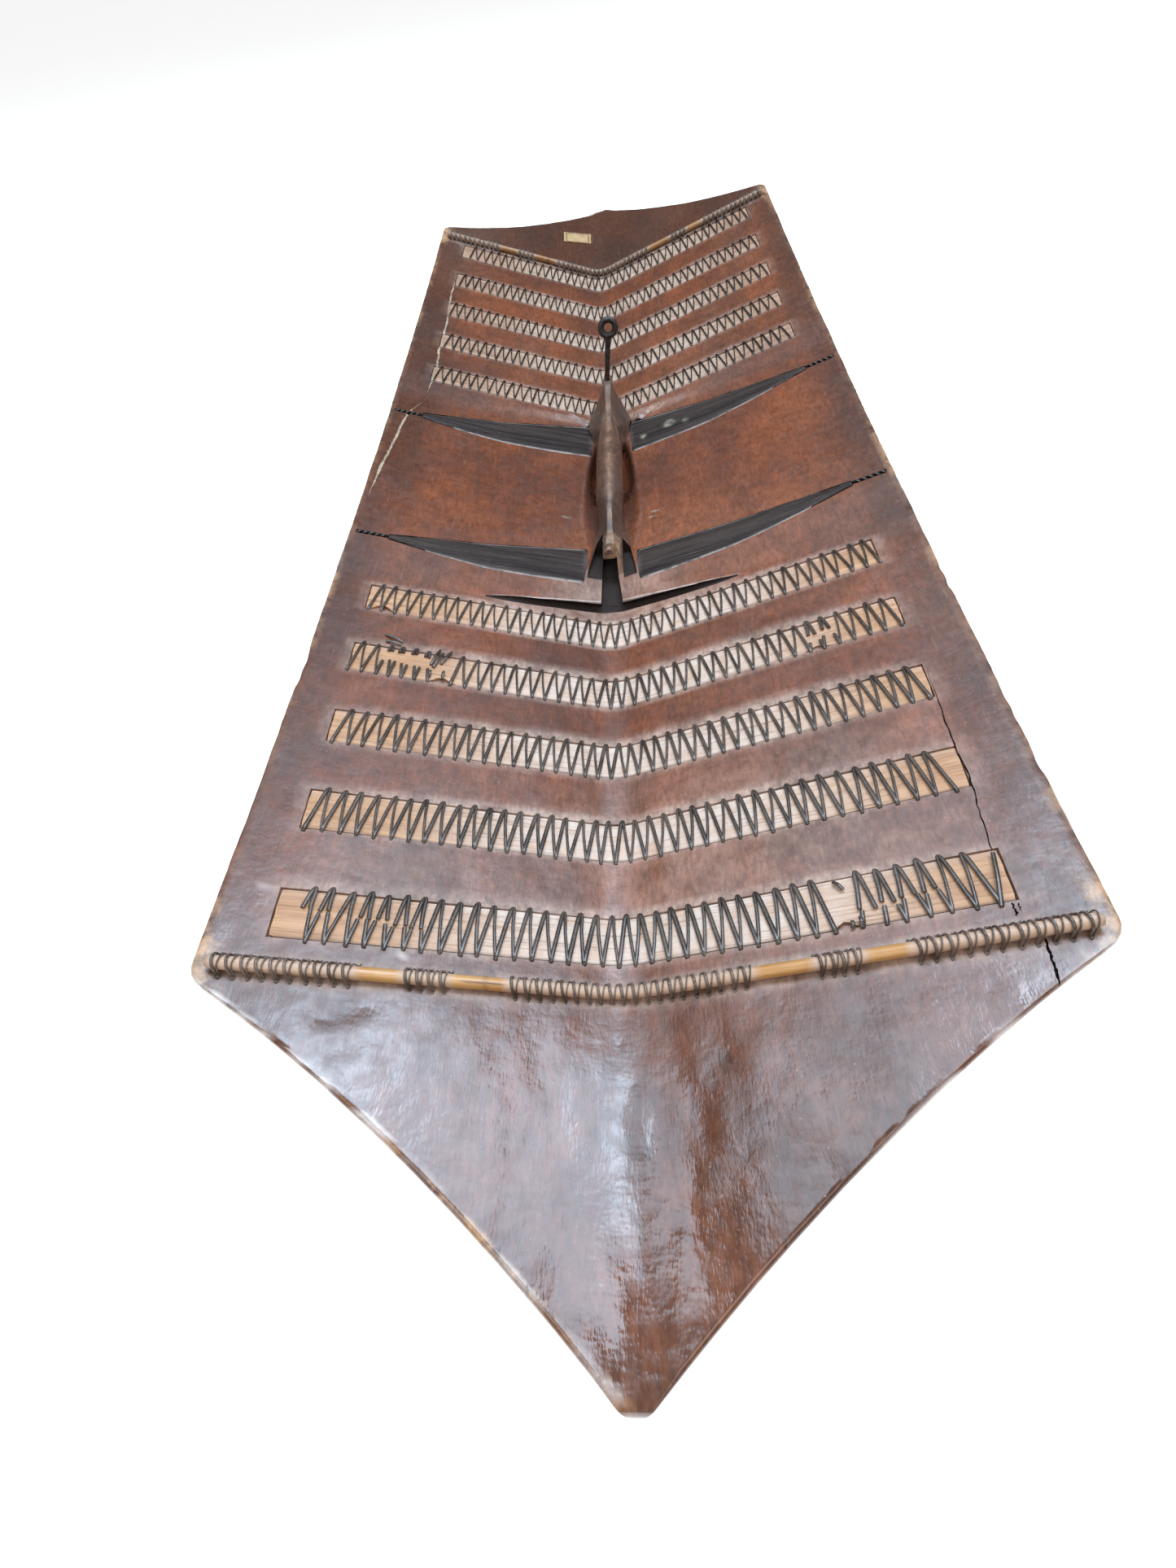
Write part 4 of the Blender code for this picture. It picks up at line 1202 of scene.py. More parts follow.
def strip_chip(end, number, x, offset):
    """Lost splinters pull a strip's lower edge in."""
    lost = 0.0
    for where, place, reach, depth in STRIP_CHIPS:
        if where == (end, number):
            lost = lost + depth * math.exp(-(((x - place) / reach) ** 2))
    return lost * np.clip(-offset / (STRIP_WIDTH / 2), 0.0, 1.0) ** 4


def make_strip(end, number, middle):
    """Slightly cambered split cane with fibre ridges and rough ends."""
    fibres = Noise(SEEDS["strip"] + number + (10 if end == "upper" else 0))
    x_from, x_to = -strip_reach(middle, -1), strip_reach(middle, 1)
    v = np.linspace(-1.0, 1.0, 19)
    rings = []
    for x in np.linspace(x_from, x_to, STRIP_RINGS):
        near_end = 1 - min(1.0, (x - x_from) / STRIP_END_RUN, (x_to - x) / STRIP_END_RUN)
        half = STRIP_WIDTH / 2 - max(0.0, STRIP_WORN + STRIP_WORN * fibres(x * 25.0, 5.0))
        y = middle + half * v
        ragged = STRIP_RAGGED * (0.5 + 0.5 * fibres(v * 3.0, 40.0 if x < 0 else 50.0)) * near_end
        spread = (side_half_width(y) - side_half_width(middle)) * x / max(x_to, -x_from)
        x_row = x + spread - math.copysign(1.0, x) * ragged
        ridges = fibre_lines(fibres, x, v, RIDGES)
        top = back_z(x_row, y) - STRIP_SUNK - STRIP_CAMBER * np.abs(v) ** 3
        top = top + ridges - STRIP_END_DROP * near_end
        y = y + strip_chip(end, number, x, y - middle)
        bottom = back_z(x_row, y) - STRIP_THICKNESS
        top = np.maximum(top, bottom + STRIP_LEAST)
        rings.append(np.concatenate((np.stack((x_row, y, top), 1), np.stack((x_row, y, bottom), 1)[::-3])))
    strip = loft(f"strip_{end}_{number}", rings, CANE[end], STRIP_SHARP)
    x, y, _ = vertex_places(strip).T
    off = (y - middle) / (STRIP_WIDTH / 2)
    dust = 0.30 * smooth(off, 0.5, 1.0) + 0.90 * smooth(np.abs(x - 0.01), 0.16, 0.05)
    set_mask(strip, "dust", dust + (0.20 if end == "upper" else 0.0))
    set_mask(strip, "dark", 0.75 * smooth(-off, 0.93, 0.99))
    dress(strip, "cane", f"cane_strip_{end}_{number}")


# Lacing

THICK_THREAD = (0.00120, 0.00062)
THIN_THREAD = (0.00085, 0.00052)
THREAD_SUNK = 0.0012
THREAD_SLIM = {"upper": (0.74, 0.0), "lower": (0.80, 0.05)}
THREAD_PALE = {"upper": 0.0, "lower": 0.20}
STITCH_REACH = STRIP_WIDTH / 2 + 0.0012
STITCH_STEPS = 25
FOOT_SPREAD = 0.0006
CROWN_SPREAD = 0.0005
LOW_END_SPREAD = (-0.0008, 0.0006)
HIGH_END_SPREAD = (-0.0007, 0.0009)
WIDTH_SPREAD = (0.85, 1.15)
TORN_SPREAD = 0.0010
STITCH_LEAN = (0.36, 0.26)
LEAN_TURNS = (0.03, -0.03)
SHORTEST_STUMP = 4
SHORTEST_CROWN = 8

# Torn stitches on a strip: from, to, height over its middle at each end, gap
TEARS = {
    ("lower", 5): (
        (-0.180, -0.108, 0.0052, -0.0035, -0.0012),
        (0.110, 0.147, -0.0075, -0.0015, -0.0008),
    ),
    ("lower", 2): ((-0.167, -0.134, 0.0052, 0.0036, 0.0100), (0.128, 0.140, -0.0030, -0.0010, 0.0050)),
}

# Start and finish of each loose end beside a break
LOOSE_ENDS = {
    "lower_2_left": (
        ((-0.1342, -0.2489), (-0.1296, -0.2326)),
        ((-0.1323, -0.2511), (-0.1270, -0.2355)),
        ((-0.1278, -0.2464), (-0.1219, -0.2324)),
        ((-0.1333, -0.2608), (-0.1330, -0.2556)),
        ((-0.1248, -0.2613), (-0.1246, -0.2544)),
        ((-0.1683, -0.2237), (-0.1552, -0.2298)),
        ((-0.1663, -0.2314), (-0.1559, -0.2327)),
    ),
    "lower_5_right": (
        ((0.1017, -0.4416), (0.1050, -0.4474)),
        ((0.1046, -0.4690), (0.1052, -0.4655)),
        ((0.1086, -0.4690), (0.1090, -0.4640)),
        ((0.1649, -0.4705), (0.1706, -0.4425)),
    ),
}


def resample(points, count):
    """Smooth path through a few points."""
    points = np.asarray(points, float)
    padded = np.concatenate((2 * points[:1] - points[1:2], points, 2 * points[-1:] - points[-2:-1]))
    spans = len(points) - 1
    path = []
    for t in np.linspace(0.0, spans, count):
        i = min(int(t), spans - 1)
        u = t - i
        a, b, c, d = padded[i : i + 4]
        curve = (2 * a - 5 * b + 4 * c - d) * u**2 + (3 * b - a - 3 * c + d) * u**3
        path.append(0.5 * (2 * b + (c - a) * u + curve))
    return np.array(path)


def finer(path):
    """The same path with closer points."""
    steps = np.linspace(0, len(path) - 1, 4 * len(path))
    return np.stack([np.interp(steps, np.arange(len(path)), column) for column in path.T], 1)


def lay_on_board(path, lift):
    """Puts (x, y, height) points on the board's back."""
    path = np.array(path)
    path[:, 2] += back_z(path[:, 0], path[:, 1]) + lift
    return path


def stitch(middle, foot, crown, next_foot, way, jitter):
    """One hairpin: a thick leg up from its foot, over the crown and a thinner leg down to the next foot.

    Its knots are (x, y, height over the board).
    """
    reach = STITCH_REACH
    bottom = middle - reach + jitter[0]
    top = middle + reach + jitter[1]
    knots = [
        (foot, bottom - 0.0006, -THREAD_SUNK),
        (foot + (crown - foot) * 0.04, bottom + 0.0010, 0.0002),
        (foot + (crown - foot) * 0.35, bottom + reach * 0.70, 0.0004),
        (foot + (crown - foot) * 0.72, top - reach * 0.50, 0.0003),
        (crown - way * 0.0003, top - 0.0016, 0.0003),
        (crown + way * 0.0006, top + 0.0002, -0.0002),
        (crown + way * 0.0012, top - 0.0018, 0.0000),
        (crown + (next_foot - crown) * 0.40, top - reach * 0.70, 0.0002),
        (crown + (next_foot - crown) * 0.75, bottom + reach * 0.45, 0.0002),
        (next_foot - (next_foot - crown) * 0.03, bottom + 0.0012, 0.0000),
        (next_foot, bottom - 0.0004, -THREAD_SUNK),
    ]
    path = lay_on_board(resample(knots, STITCH_STEPS), THICK_THREAD[1])
    share = smooth(np.linspace(0, 1, STITCH_STEPS), 0.45, 0.60)
    width, height = (thick * (1 - share) + thin * share for thick, thin in zip(THICK_THREAD, THIN_THREAD))
    return path, width * jitter[2], height


def tear_at(end, number, x):
    """Height of the tear above the strip's middle and its gap at x, or None where the stitches are whole."""
    for x_from, x_to, first, last, gap in TEARS.get((end, number), ()):
        if x_from <= x <= x_to:
            return first + (last - first) * (x - x_from) / (x_to - x_from), gap
    return None


def add_torn_stitch(tubes, chance, path, middle, tear, first):
    """What is left of a torn stitch: stumps under the tear and its crown over it."""
    rise, gap = tear
    crest = len(path) // 2
    for leg in (path[crest:],) if first else (path[:crest], path[crest:]):
        level = middle + rise + chance.uniform(-TORN_SPREAD, TORN_SPREAD)
        part = finer(leg)
        part = part[part[:, 1] < level - gap / 2]
        if len(part) > SHORTEST_STUMP:
            tubes.add(part, THICK_THREAD[0] * chance.uniform(0.85, 1.0), THICK_THREAD[1])
    part = finer(path)
    part = part[part[:, 1] > middle + rise + gap / 2 + chance.uniform(-TORN_SPREAD, TORN_SPREAD)]
    if len(part) > SHORTEST_CROWN:
        drift = chance.uniform(-TORN_SPREAD, TORN_SPREAD)
        part[:, 0] += drift * (part[:, 1].max() - part[:, 1]) / STITCH_REACH
        tubes.add(part, *THICK_THREAD)


def make_lacing(end, number, middle, x_from, x_to, label):
    seed = SEEDS["lacing"] + number * 7 + (3 if end == "upper" else 0) + int(x_from > 0)
    chance = np.random.RandomState(seed)
    tubes = Tubes()
    slim = THREAD_SLIM[end][0] + THREAD_SLIM[end][1] * number
    count = int(round((x_to - x_from) / STITCH_PITCH))
    pitch = (x_to - x_from) / count
    feet = [x_from + pitch * i + chance.uniform(-FOOT_SPREAD, FOOT_SPREAD) for i in range(count + 1)]
    for foot, next_foot in zip(feet, feet[1:]):
        left_lean = float(smooth((foot + next_foot) / 2, *LEAN_TURNS))
        lean = STITCH_LEAN[0] + STITCH_LEAN[1] * left_lean
        crown = foot + (next_foot - foot) * lean + chance.uniform(-CROWN_SPREAD, CROWN_SPREAD)
        low, high = chance.uniform(*LOW_END_SPREAD), chance.uniform(*HIGH_END_SPREAD)
        jitter = (low, high, slim * chance.uniform(*WIDTH_SPREAD))
        if left_lean > 0.5:
            path, width, height = stitch(middle, foot, crown, next_foot, 1, jitter)
        else:
            path, width, height = stitch(middle, next_foot, crown, foot, -1, jitter)
        tear = tear_at(end, number, (foot + next_foot) / 2)
        if tear:
            add_torn_stitch(tubes, chance, path, middle, tear, foot == feet[0])
        else:
            tubes.add(path, width, height)
    for start, finish in LOOSE_ENDS.get(label, ()):
        knots = [(*start, 0.0002), (*(np.add(start, finish) / 2), 0.0016), (*finish, 0.0009)]
        path = lay_on_board(resample(knots, 8), THICK_THREAD[1])
        tubes.add(path, THICK_THREAD[0] * 0.9, THICK_THREAD[1])
    thread = tubes.build(f"thread_{label}", THREAD)
    set_mask(thread, "pale", THREAD_PALE[end])
    dress(thread, "lacing", f"lacing_{label}")


# Rods and lashings

ROD_RINGS = 170
ROD_SIDES = 20
ROD_TILT = 0.15
ROD_COVER = 0.004

# Cane's node: place, share and reach of its swelling, reach of its stain
ROD_NODE_X = -0.073
ROD_NODE = (0.03, 0.002)
ROD_NODE_STAIN = 0.0012

# Shares of the radius: least and its waves (per metre), facets (waves round, waves per metre), rounded end
ROD_WANDER = (0.965, 0.02, 30.0)
ROD_FACETS = (0.035, 2.2, 12.0)
ROD_END = (0.25, 0.0015)

# Split beside the lower rod's node: turn from the horizontal, and where it fades in and out
ROD_SPLIT_TURN = 1.9
ROD_SPLIT_SPAN = (-0.086, -0.080, -0.066, -0.062)

# Turns of thread over the rods
COIL_REACH = ROD_RADIUS + 0.0030
COIL_LIFT = (0.0008, 0.0004)
COIL_DIP = -0.0016
COIL_STEPS = 15
COIL_START = 0.15
COIL_SPREAD = 0.0004
COIL_SIZES = (0.9, 1.1)

# Each leg of a turn: where it starts and how far it goes in shares of the pitch, width, height
COIL_LEGS = (
    (0.0, 0.42, THICK_THREAD[0] * 0.62, THIN_THREAD[1]),
    (0.42, 0.50, THIN_THREAD[0] * 0.44, THIN_THREAD[1] * 0.7),
)


def rod_height(x, y):
    return back_z(x, y) + (ROD_RADIUS + GAP) * math.hypot(1.0, WING_SLOPE)


def make_rod(end, y):
    wander = Noise(SEEDS["rod"] + int(end == "lower"))
    reach = side_half_width(y) - ROD_END_MARGIN
    turns = np.arange(ROD_SIDES) * math.tau / ROD_SIDES
    rings = []
    for x in np.linspace(-reach, reach, ROD_RINGS):
        z = float(rod_height(x, y))
        node = ROD_NODE[0] * math.exp(-(((x - ROD_NODE_X) / ROD_NODE[1]) ** 2))
        radius = ROD_RADIUS * (ROD_WANDER[0] + ROD_WANDER[1] * wander(x * ROD_WANDER[2]) + node)
        radius *= 1.0 - ROD_END[0] * max(0.0, 1 - (reach - abs(x)) / ROD_END[1])
        facet = 1 + ROD_FACETS[0] * wander(turns * ROD_FACETS[1], x * ROD_FACETS[2])
        tilt = ROD_TILT * (WING_SLOPE * float(np.clip((x - CREASE_X) / CREASE_SOFT, -1, 1)))
        ring = (
            x - tilt * radius * np.sin(turns),
            y + radius * facet * np.cos(turns),
            z + radius * facet * np.sin(turns),
        )
        rings.append(np.stack(ring, 1))
    rod = loft(f"cane_rod_{end}", rings, ROD, ROUND_SHARP)
    x, across, z = vertex_places(rod).T
    lashed = (band(x, low - ROD_COVER, low, high, high + ROD_COVER) for low, high in LASHING_GROUPS)
    node = np.exp(-(((x - ROD_NODE_X) / ROD_NODE_STAIN) ** 2))
    if end == "lower":
        turn = np.arctan2(z - rod_height(x, y), across - y)
        split = smooth(np.abs(turn - ROD_SPLIT_TURN), 0.28, 0.10) * band(x, *ROD_SPLIT_SPAN)
        node = np.maximum(node, 1.6 * split)
    set_mask(rod, "dust", 0.80 * strongest(*lashed))
    deep = 0.40 if end == "upper" else 0.0
    set_mask(rod, "dark", deep + 0.5 * node + 0.4 * smooth(np.abs(x), reach - 0.004, reach))
    dress(rod, "rod_cane", f"rod_{end}")


def over_rod(path, y):
    """Puts (x, y, dip) points over the rod; the dip sinks their ends into the board."""
    path = np.array(path)
    off = path[:, 1] - y
    outer = ROD_RADIUS + COIL_LIFT[0]
    arch = rod_height(path[:, 0], y) + np.sqrt(np.maximum(0.0, outer**2 - off**2))
    board = back_z(path[:, 0], path[:, 1]) + COIL_LIFT[1]
    path[:, 2] += np.maximum(arch * (np.abs(off) < outer), board)
    return path


def make_coils(end, y):
    shares = np.linspace(-1.0, 1.0, COIL_STEPS)
    steps = np.linspace(0.0, 1.0, COIL_STEPS)
    dip = COIL_DIP * np.abs(shares) ** 12
    over_y = y + COIL_REACH * np.cos(np.pi / 2 * (1 - shares))[::-1]
    for number, ((x_from, x_to), turns) in enumerate(zip(LASHING_GROUPS, LASHING_TURNS[end]), 1):
        chance = np.random.RandomState(SEEDS["coil"] + number + (20 if end == "upper" else 0))
        tubes = Tubes()
        pitch = (x_to - x_from) / turns
        for i in range(turns):
            start = x_from + pitch * (i + COIL_START) + chance.uniform(-COIL_SPREAD, COIL_SPREAD)
            size = chance.uniform(*COIL_SIZES)
            for (begin, span, width, height), leg_y in zip(COIL_LEGS, (over_y, over_y[::-1])):
                path = np.stack((start + pitch * (begin + span * steps), leg_y, dip), 1)
                tubes.add(over_rod(path, y), width * size, height)
        coil = tubes.build(f"coil_{end}_{number}", THREAD)
        set_mask(coil, "pale", 0.45)
        dress(coil, "lacing", f"rod_lashing_{end}_{number}")


# Battens and ties

BATTEN_RINGS = 120
BATTEN_OUTER = SIDE_HALF_WIDTH - BATTEN_END_MARGIN
BATTEN_FRAYED = (0.72, 1.0)

# Near and far edge: fraying as (depth, waves, noise row), and a step as (depth, from, to)
BATTEN_FRAY = ((0.0009, 60.0, 3.0), (0.0006, 45.0, 9.0))
BATTEN_STEPS = ((0.0012, 0.80, 0.82), (0.0008, 0.86, 0.88))
BATTEN_SUNK = 0.0005
BATTEN_CAMBER = 0.0005
BATTEN_EDGE_DROP = 0.0006

# Fibre along the batten, as fibre_lines takes it
BATTEN_LINES = ((6.0, 13.0, 0.0, 0.00012), (11.0, 31.0, 9.0, 0.00007))
TIE_SLACK = 0.0006
TIE_HALF_TURNS = 5
TIE_SWING = 0.0011
TIE_RISE = 0.0009
TIE_SUNK = 0.0004
TIE_STRAND = (0.0010, 0.0009)

# Old plaster on the upper right batten: x, height over the grip, reach
PLASTER_SPOTS = ((0.057, 0.0980, 0.0075), (0.0305, 0.0915, 0.0040), (0.073, 0.0935, 0.0040))


def batten_edge(end, side, share, grow=0.0):
    upper, lower = BATTEN_EDGES[end, side]
    belly = BATTEN_BELLY * np.sin(math.pi * share)
    near = GRIP_Y + lower[0] + (lower[1] - lower[0]) * share - belly - grow
    far = GRIP_Y + upper[0] + (upper[1] - upper[0]) * share + grow
    return near, far


def batten_x(end, side, way, share, across, grow=0.0):
    """Stations along a batten; its inner end is a little slanted, with rounded corners."""
    lower, upper = BATTEN_INNER[end, side]
    inner = lower + (upper - lower) * across + BATTEN_CORNER * np.abs(2 * across - 1) ** 6 - grow
    return way * (inner + (BATTEN_OUTER + grow - inner) * share)


def make_pocket(end, side, way):
    rings = []
    v = np.linspace(0.0, 1.0, 9)
    for share in np.linspace(0.0, 1.0, 25):
        near, far = batten_edge(end, side, share, GAP)
        x, y = batten_x(end, side, way, share, v, GAP), near + (far - near) * v
        high = np.stack((x, y, panel_z(x, y) + CUT_THROUGH), 1)
        low = np.stack((x, y, panel_z(x, y) - BATTEN_DEPTH - GAP), 1)
        rings.append(np.concatenate((high, low[::-1])))
    return loft("pocket", rings, SHADE)


def make_batten(end, side, way):
    """Flat batten with fibre lines, frayed at its outer end."""
    wood = Noise(SEEDS["batten"] + 2 * (end == "upper") + (side == "left"))
    rings = []
    v = np.linspace(0.0, 1.0, 17)
    for share in np.linspace(0.0, 1.0, BATTEN_RINGS):
        near, far = batten_edge(end, side, share)
        tip = float(smooth(share, *BATTEN_FRAYED))
        fray = [max(0.0, depth * tip * float(wood(share * waves, row))) for depth, waves, row in BATTEN_FRAY]
        step = [depth * float(smooth(share, *run)) for depth, *run in BATTEN_STEPS]
        near += fray[0] + step[0]
        far -= fray[1] + step[1]
        x = batten_x(end, side, way, share, v)
        y = near + (far - near) * v
        camber = BATTEN_CAMBER * (1 - (2 * v - 1) ** 2) - BATTEN_EDGE_DROP * np.abs(2 * v - 1) ** 14
        end_drop = 0.0012 * (1 - min(1.0, share / 0.010)) + 0.0006 * float(smooth(share, 0.985, 1.0))
        lines = fibre_lines(wood, share, v, BATTEN_LINES)
        panel = panel_z(x, y)
        upper = np.stack((x, y, panel + BATTEN_PROUD - BATTEN_SUNK + camber - end_drop + lines), 1)
        lower = np.stack((x, y, panel - BATTEN_DEPTH), 1)[::-4]
        rings.append(np.concatenate((upper, lower)))
    batten = loft(f"inlay_{end}_{side}", rings, BATTEN, BATTEN_SHARP)
    x, y, _ = vertex_places(batten).T
    inner = sum(BATTEN_INNER[end, side]) / 2
    share = np.clip((way * x - inner) / (BATTEN_OUTER - inner), 0, 1)
    near, far = batten_edge(end, side, share)
    # dust along the far edge and at the inner end; the pale line along the near edge is a painted highlight
    dust = 0.5 * smooth(y - far, -0.0014, -0.0003) + 0.9 * smooth(near - y, -0.0008, -0.0002)
    set_mask(batten, "dust", dust + 0.15 * smooth(share, 0.03, 0.0))
    spots = [smooth(np.hypot(x - u, y - GRIP_Y - w), reach, reach * 0.5) for u, w, reach in PLASTER_SPOTS]
    set_mask(batten, "plaster", strongest(*spots) if (end, side) == ("upper", "right") else 0.0)
    dress(batten, "batten_wood", f"batten_{end}_{side}")


def tie_line(end, side, grow):
    """Height of a tie, and how far from the middle it starts and stops."""
    upper, lower = BATTEN_EDGES[end, side]
    y = GRIP_Y + (upper[1] + lower[1]) / 2
    return y, BATTEN_OUTER + 2 * GAP - grow, side_half_width(y) - TIE_EDGE_MARGIN + grow


def make_groove(end, side, way):
    y, start, stop = tie_line(end, side, GAP)
    half = TIE_WIDTH / 2 + GAP
    bed = ((-half * 0.7, -TIE_DEPTH), (0.0, -TIE_DEPTH - GAP), (half * 0.7, -TIE_DEPTH))
    outline = ((-half, CUT_THROUGH), *bed, (half, CUT_THROUGH))
    rings = []
    for x in (way * start, way * stop):
        rings.append([(x, y + u, float(panel_z(x, y)) + lift) for u, lift in outline])
    return loft("groove", rings, SHADE)


def make_tie(end, side, way):
    """Two thin strands twisted round each other, lying in their groove."""
    y, start, stop = tie_line(end, side, -TIE_SLACK)
    tubes = Tubes()
    shares = np.linspace(0.0, 1.0, 60)
    x = way * (start + (stop - start) * shares)
    for phase in (0.0, math.pi):
        turn = shares * TIE_HALF_TURNS * math.tau / 2 + phase
        path = np.stack((x, y + TIE_SWING * np.cos(turn), TIE_RISE * np.sin(turn) - TIE_SUNK), 1)
        path[:, 2] += panel_z(path[:, 0], path[:, 1])
        tubes.add(path, *TIE_STRAND)
    tie = tubes.build(f"twist_{end}_{side}", THREAD)
    dress(tie, "lacing", f"batten_tie_{end}_{side}")


# Eye pin and patch


def pin_frame():
    y = HANDLE_HEAD - 1.5 * PIN_RADIUS
    z = ground_z(y) + PROW_HEIGHT
    place = Matrix.Translation((handle_axis(y), GRIP_Y + y, z))
    return place @ Matrix.Rotation(-PIN_LEAN, 4, "X") @ Matrix.Rotation(PIN_SIDE_LEAN, 4, "Y")


def make_eye_pin():
    """One forged rod bent round into an eye whose end meets the shank."""
    lump = Noise(SEEDS["pin"])
    place = np.array(pin_frame())
    neck = PIN_LENGTH - EYE_RADIUS
    path, radius = [], []
    for z in np.linspace(-PIN_SEAT, neck - 0.002, 26):
        path.append((0.00035 * lump(z * 90.0), 0.0003 * lump(z * 70.0, 4.0), z))
        taper = min(0.96, 0.5 + 0.5 * (z + PIN_SEAT) / 0.006)
        radius.append(PIN_RADIUS * taper * (1 + 0.05 * lump(z * 160.0)))
    for turn in np.linspace(math.radians(-168), math.radians(176), 44):
        out = EYE_RADIUS * (1 + 0.02 * lump(turn))
        path.append((out * math.sin(turn), 0.0, PIN_LENGTH + out * math.cos(turn)))
        radius.append(EYE_WIRE_RADIUS * (0.93 + 0.05 * lump(turn * 1.7, 3.0)))
    tubes = Tubes()
    tubes.add(resample(path, 150), resample_values(radius, 150), sides=14, up=(0.0, 1.0, 0.0))
    points = tubes.points[0]
    flat = np.concatenate((points, np.ones((len(points), 1))), 1) @ place.T
    tubes.points[0] = flat[:, :3]
    pin = tubes.build("forged_pin", IRON)
    dress(pin, "iron", "eye_pin")


def resample_values(values, count):
    return np.interp(np.linspace(0, len(values) - 1, count), np.arange(len(values)), values)


def make_pin_hole():
    place = pin_frame()
    rings = []
    for z in (-PIN_SEAT - GAP, PIN_LENGTH / 2):
        turns = np.linspace(0, math.tau, 17)[:-1]
        reach = PIN_RADIUS + GAP
        rings.append([tuple(place @ Vector((reach * math.cos(t), reach * math.sin(t), z))) for t in turns])
    return loft("pin_hole", rings, SHADE)


def make_patch():
    curl = Noise(SEEDS["patch"])
    width, height = PATCH_SIZE
    middle_y = HALF_LENGTH["upper"] - PATCH_BELOW_TIP
    u, v = np.meshgrid(np.linspace(-1, 1, 37), np.linspace(-1, 1, 25), indexing="ij")
    edge_u = 0.0003 * curl(v * 4.0, 3.0) * np.abs(u)
    edge_v = 0.0003 * curl(u * 5.0, 9.0) * np.abs(v)
    x = PATCH_X + u * width / 2 - np.sign(u) * np.abs(edge_u)
    y = middle_y + v * height / 2 - np.sign(v) * np.abs(edge_v) + u * PATCH_SKEW / 2
    lift = GAP + 0.00012 + 0.0001 * curl(u * 3.0, v * 3.0) + 0.00025 * np.maximum(np.abs(u), np.abs(v)) ** 6
    base = back_z(x, y) + lift
    top, under = (np.stack((x, y, z), 2) for z in (base + PATCH_THICKNESS * 0.4, base))
    patch = loft("old_paper", [np.concatenate((a, b[::-1])) for a, b in zip(top, under)], PAPER)
    x, y, _ = vertex_places(patch).T
    u = (x - PATCH_X) / (width / 2)
    v = (y - middle_y - u * PATCH_SKEW / 2) / (height / 2)
    edge = np.maximum(np.abs(u) + 0.02, np.abs(v) - 0.02)
    set_mask(patch, "border", 0.75 * band(edge, 0.74, 0.80, 0.87, 0.93))
    dress(patch, "paper", "paper_patch")


# Cracks

# Uneven width (share, waves per step), wander (distance, waves per step, noise row), width at the ends
CRACK_JAG = (0.35, 0.7)
CRACK_WANDER = (0.0004, 0.45, 5.0)
CRACK_LEAST = 0.12

# Filled cracks: width, depth, material
FILLED = (0.0022, 0.0015, FILLER)
LEFT_SPLIT = ((-0.180, 0.386), (-0.182, 0.351), (-0.182, 0.283), (-0.184, 0.232))
LEFT_SPLIT += ((-0.183, 0.190), (-0.187, 0.140))
LOW_SPLIT = ((0.1817, -0.300), (0.1786, -0.345), (0.1770, -0.368), (0.1763, -0.396))
LOW_SPLIT += ((0.1739, -0.416), (0.1716, -0.438), (0.1733, -0.443))

# Points on the board's back, width, depth, material
CRACKS = (
    (LEFT_SPLIT, *FILLED),
    (((-0.190, 0.120), (-0.1995, 0.092), (-0.2045, 0.040), (-0.2078, 0.002), (-0.2110, -0.052)), *FILLED),
    (LOW_SPLIT, 0.0007, 0.0024, SHADE),
    (((0.1694, -0.4690), (0.1690, -0.4765)), 0.0010, 0.0030, SHADE),
    (((0.1716, -0.4694), (0.1709, -0.4740)), 0.0006, 0.0030, SHADE),
    (((0.1748, -0.4866), (0.1735, -0.4980), (0.1720, -0.5110)), 0.0011, 0.0055, SHADE),
    (((0.0570, 0.1510), (0.0400, 0.1370), (0.0250, 0.1230)), 0.0010, 0.0022, SHADE),
)


def crack(points, width, depth, material, seed):
    """Narrow wedge along a path on the board's back, as a cutter."""
    jag = Noise(seed)
    path = resample([(x, y, 0.0) for x, y in points], 12 * len(points))
    rings = []
    for i, (x, y, _) in enumerate(path):
        share = i / (len(path) - 1)
        size = max(CRACK_LEAST, min(1.0, 6 * share, 6 * (1 - share)))
        half = width / 2 * size * (1 + CRACK_JAG[0] * float(jag(i * CRACK_JAG[1])))
        x = x + CRACK_WANDER[0] * float(jag(i * CRACK_WANDER[1], CRACK_WANDER[2]))
        low = float(surface(np.array(x), np.array(y))) - depth * size
        high = low + depth * size + CUT_THROUGH / 2
        brim = high - CUT_THROUGH / 2 - depth * size * 0.3
        outline = ((-half, high), (-half * 0.9, brim), (0.0, low), (half * 0.9, brim), (half, high))
        rings.append([(x + u, y, z) for u, z in outline])
    return loft("crack", rings, material)


def join(parts):
    """Puts cutters that don't touch into one object."""
    chosen = {"active_object": parts[0], "selected_editable_objects": parts, "selected_objects": parts}
    with bpy.context.temp_override(**chosen):
        bpy.ops.object.join()
    return parts[0]


def make_board():
    board = make_board_blank()
    handle = make_handle()
    boolean(handle, make_collar(), "UNION")
    boolean(board, handle, "UNION")
    boolean(board, make_scoop(), "DIFFERENCE")
    boolean(board, make_foot_slot(), "DIFFERENCE")
    corners = [(end, side, way) for end, _ in ENDS for side, way in SIDES]
    carved = [make_hood_void(way) for _, way in SIDES] + [make_pin_hole()]
    carved += [make_pocket(*corner) for corner in corners]
    grooves = [make_groove(*corner) for corner in corners]
    cracks = [crack(*drawn, SEEDS["crack"] + number) for number, drawn in enumerate(CRACKS)]
    for cutters in (carved, grooves, cracks):
        boolean(board, join(cutters), "DIFFERENCE")
    boolean(board, make_stub(), "UNION")
    paint_board(board)
    board.data.shade_smooth()
    board.data.set_sharp_from_angle(angle=math.radians(SHARP))
    dress(board, "board_wood", "board")


# The board's masks

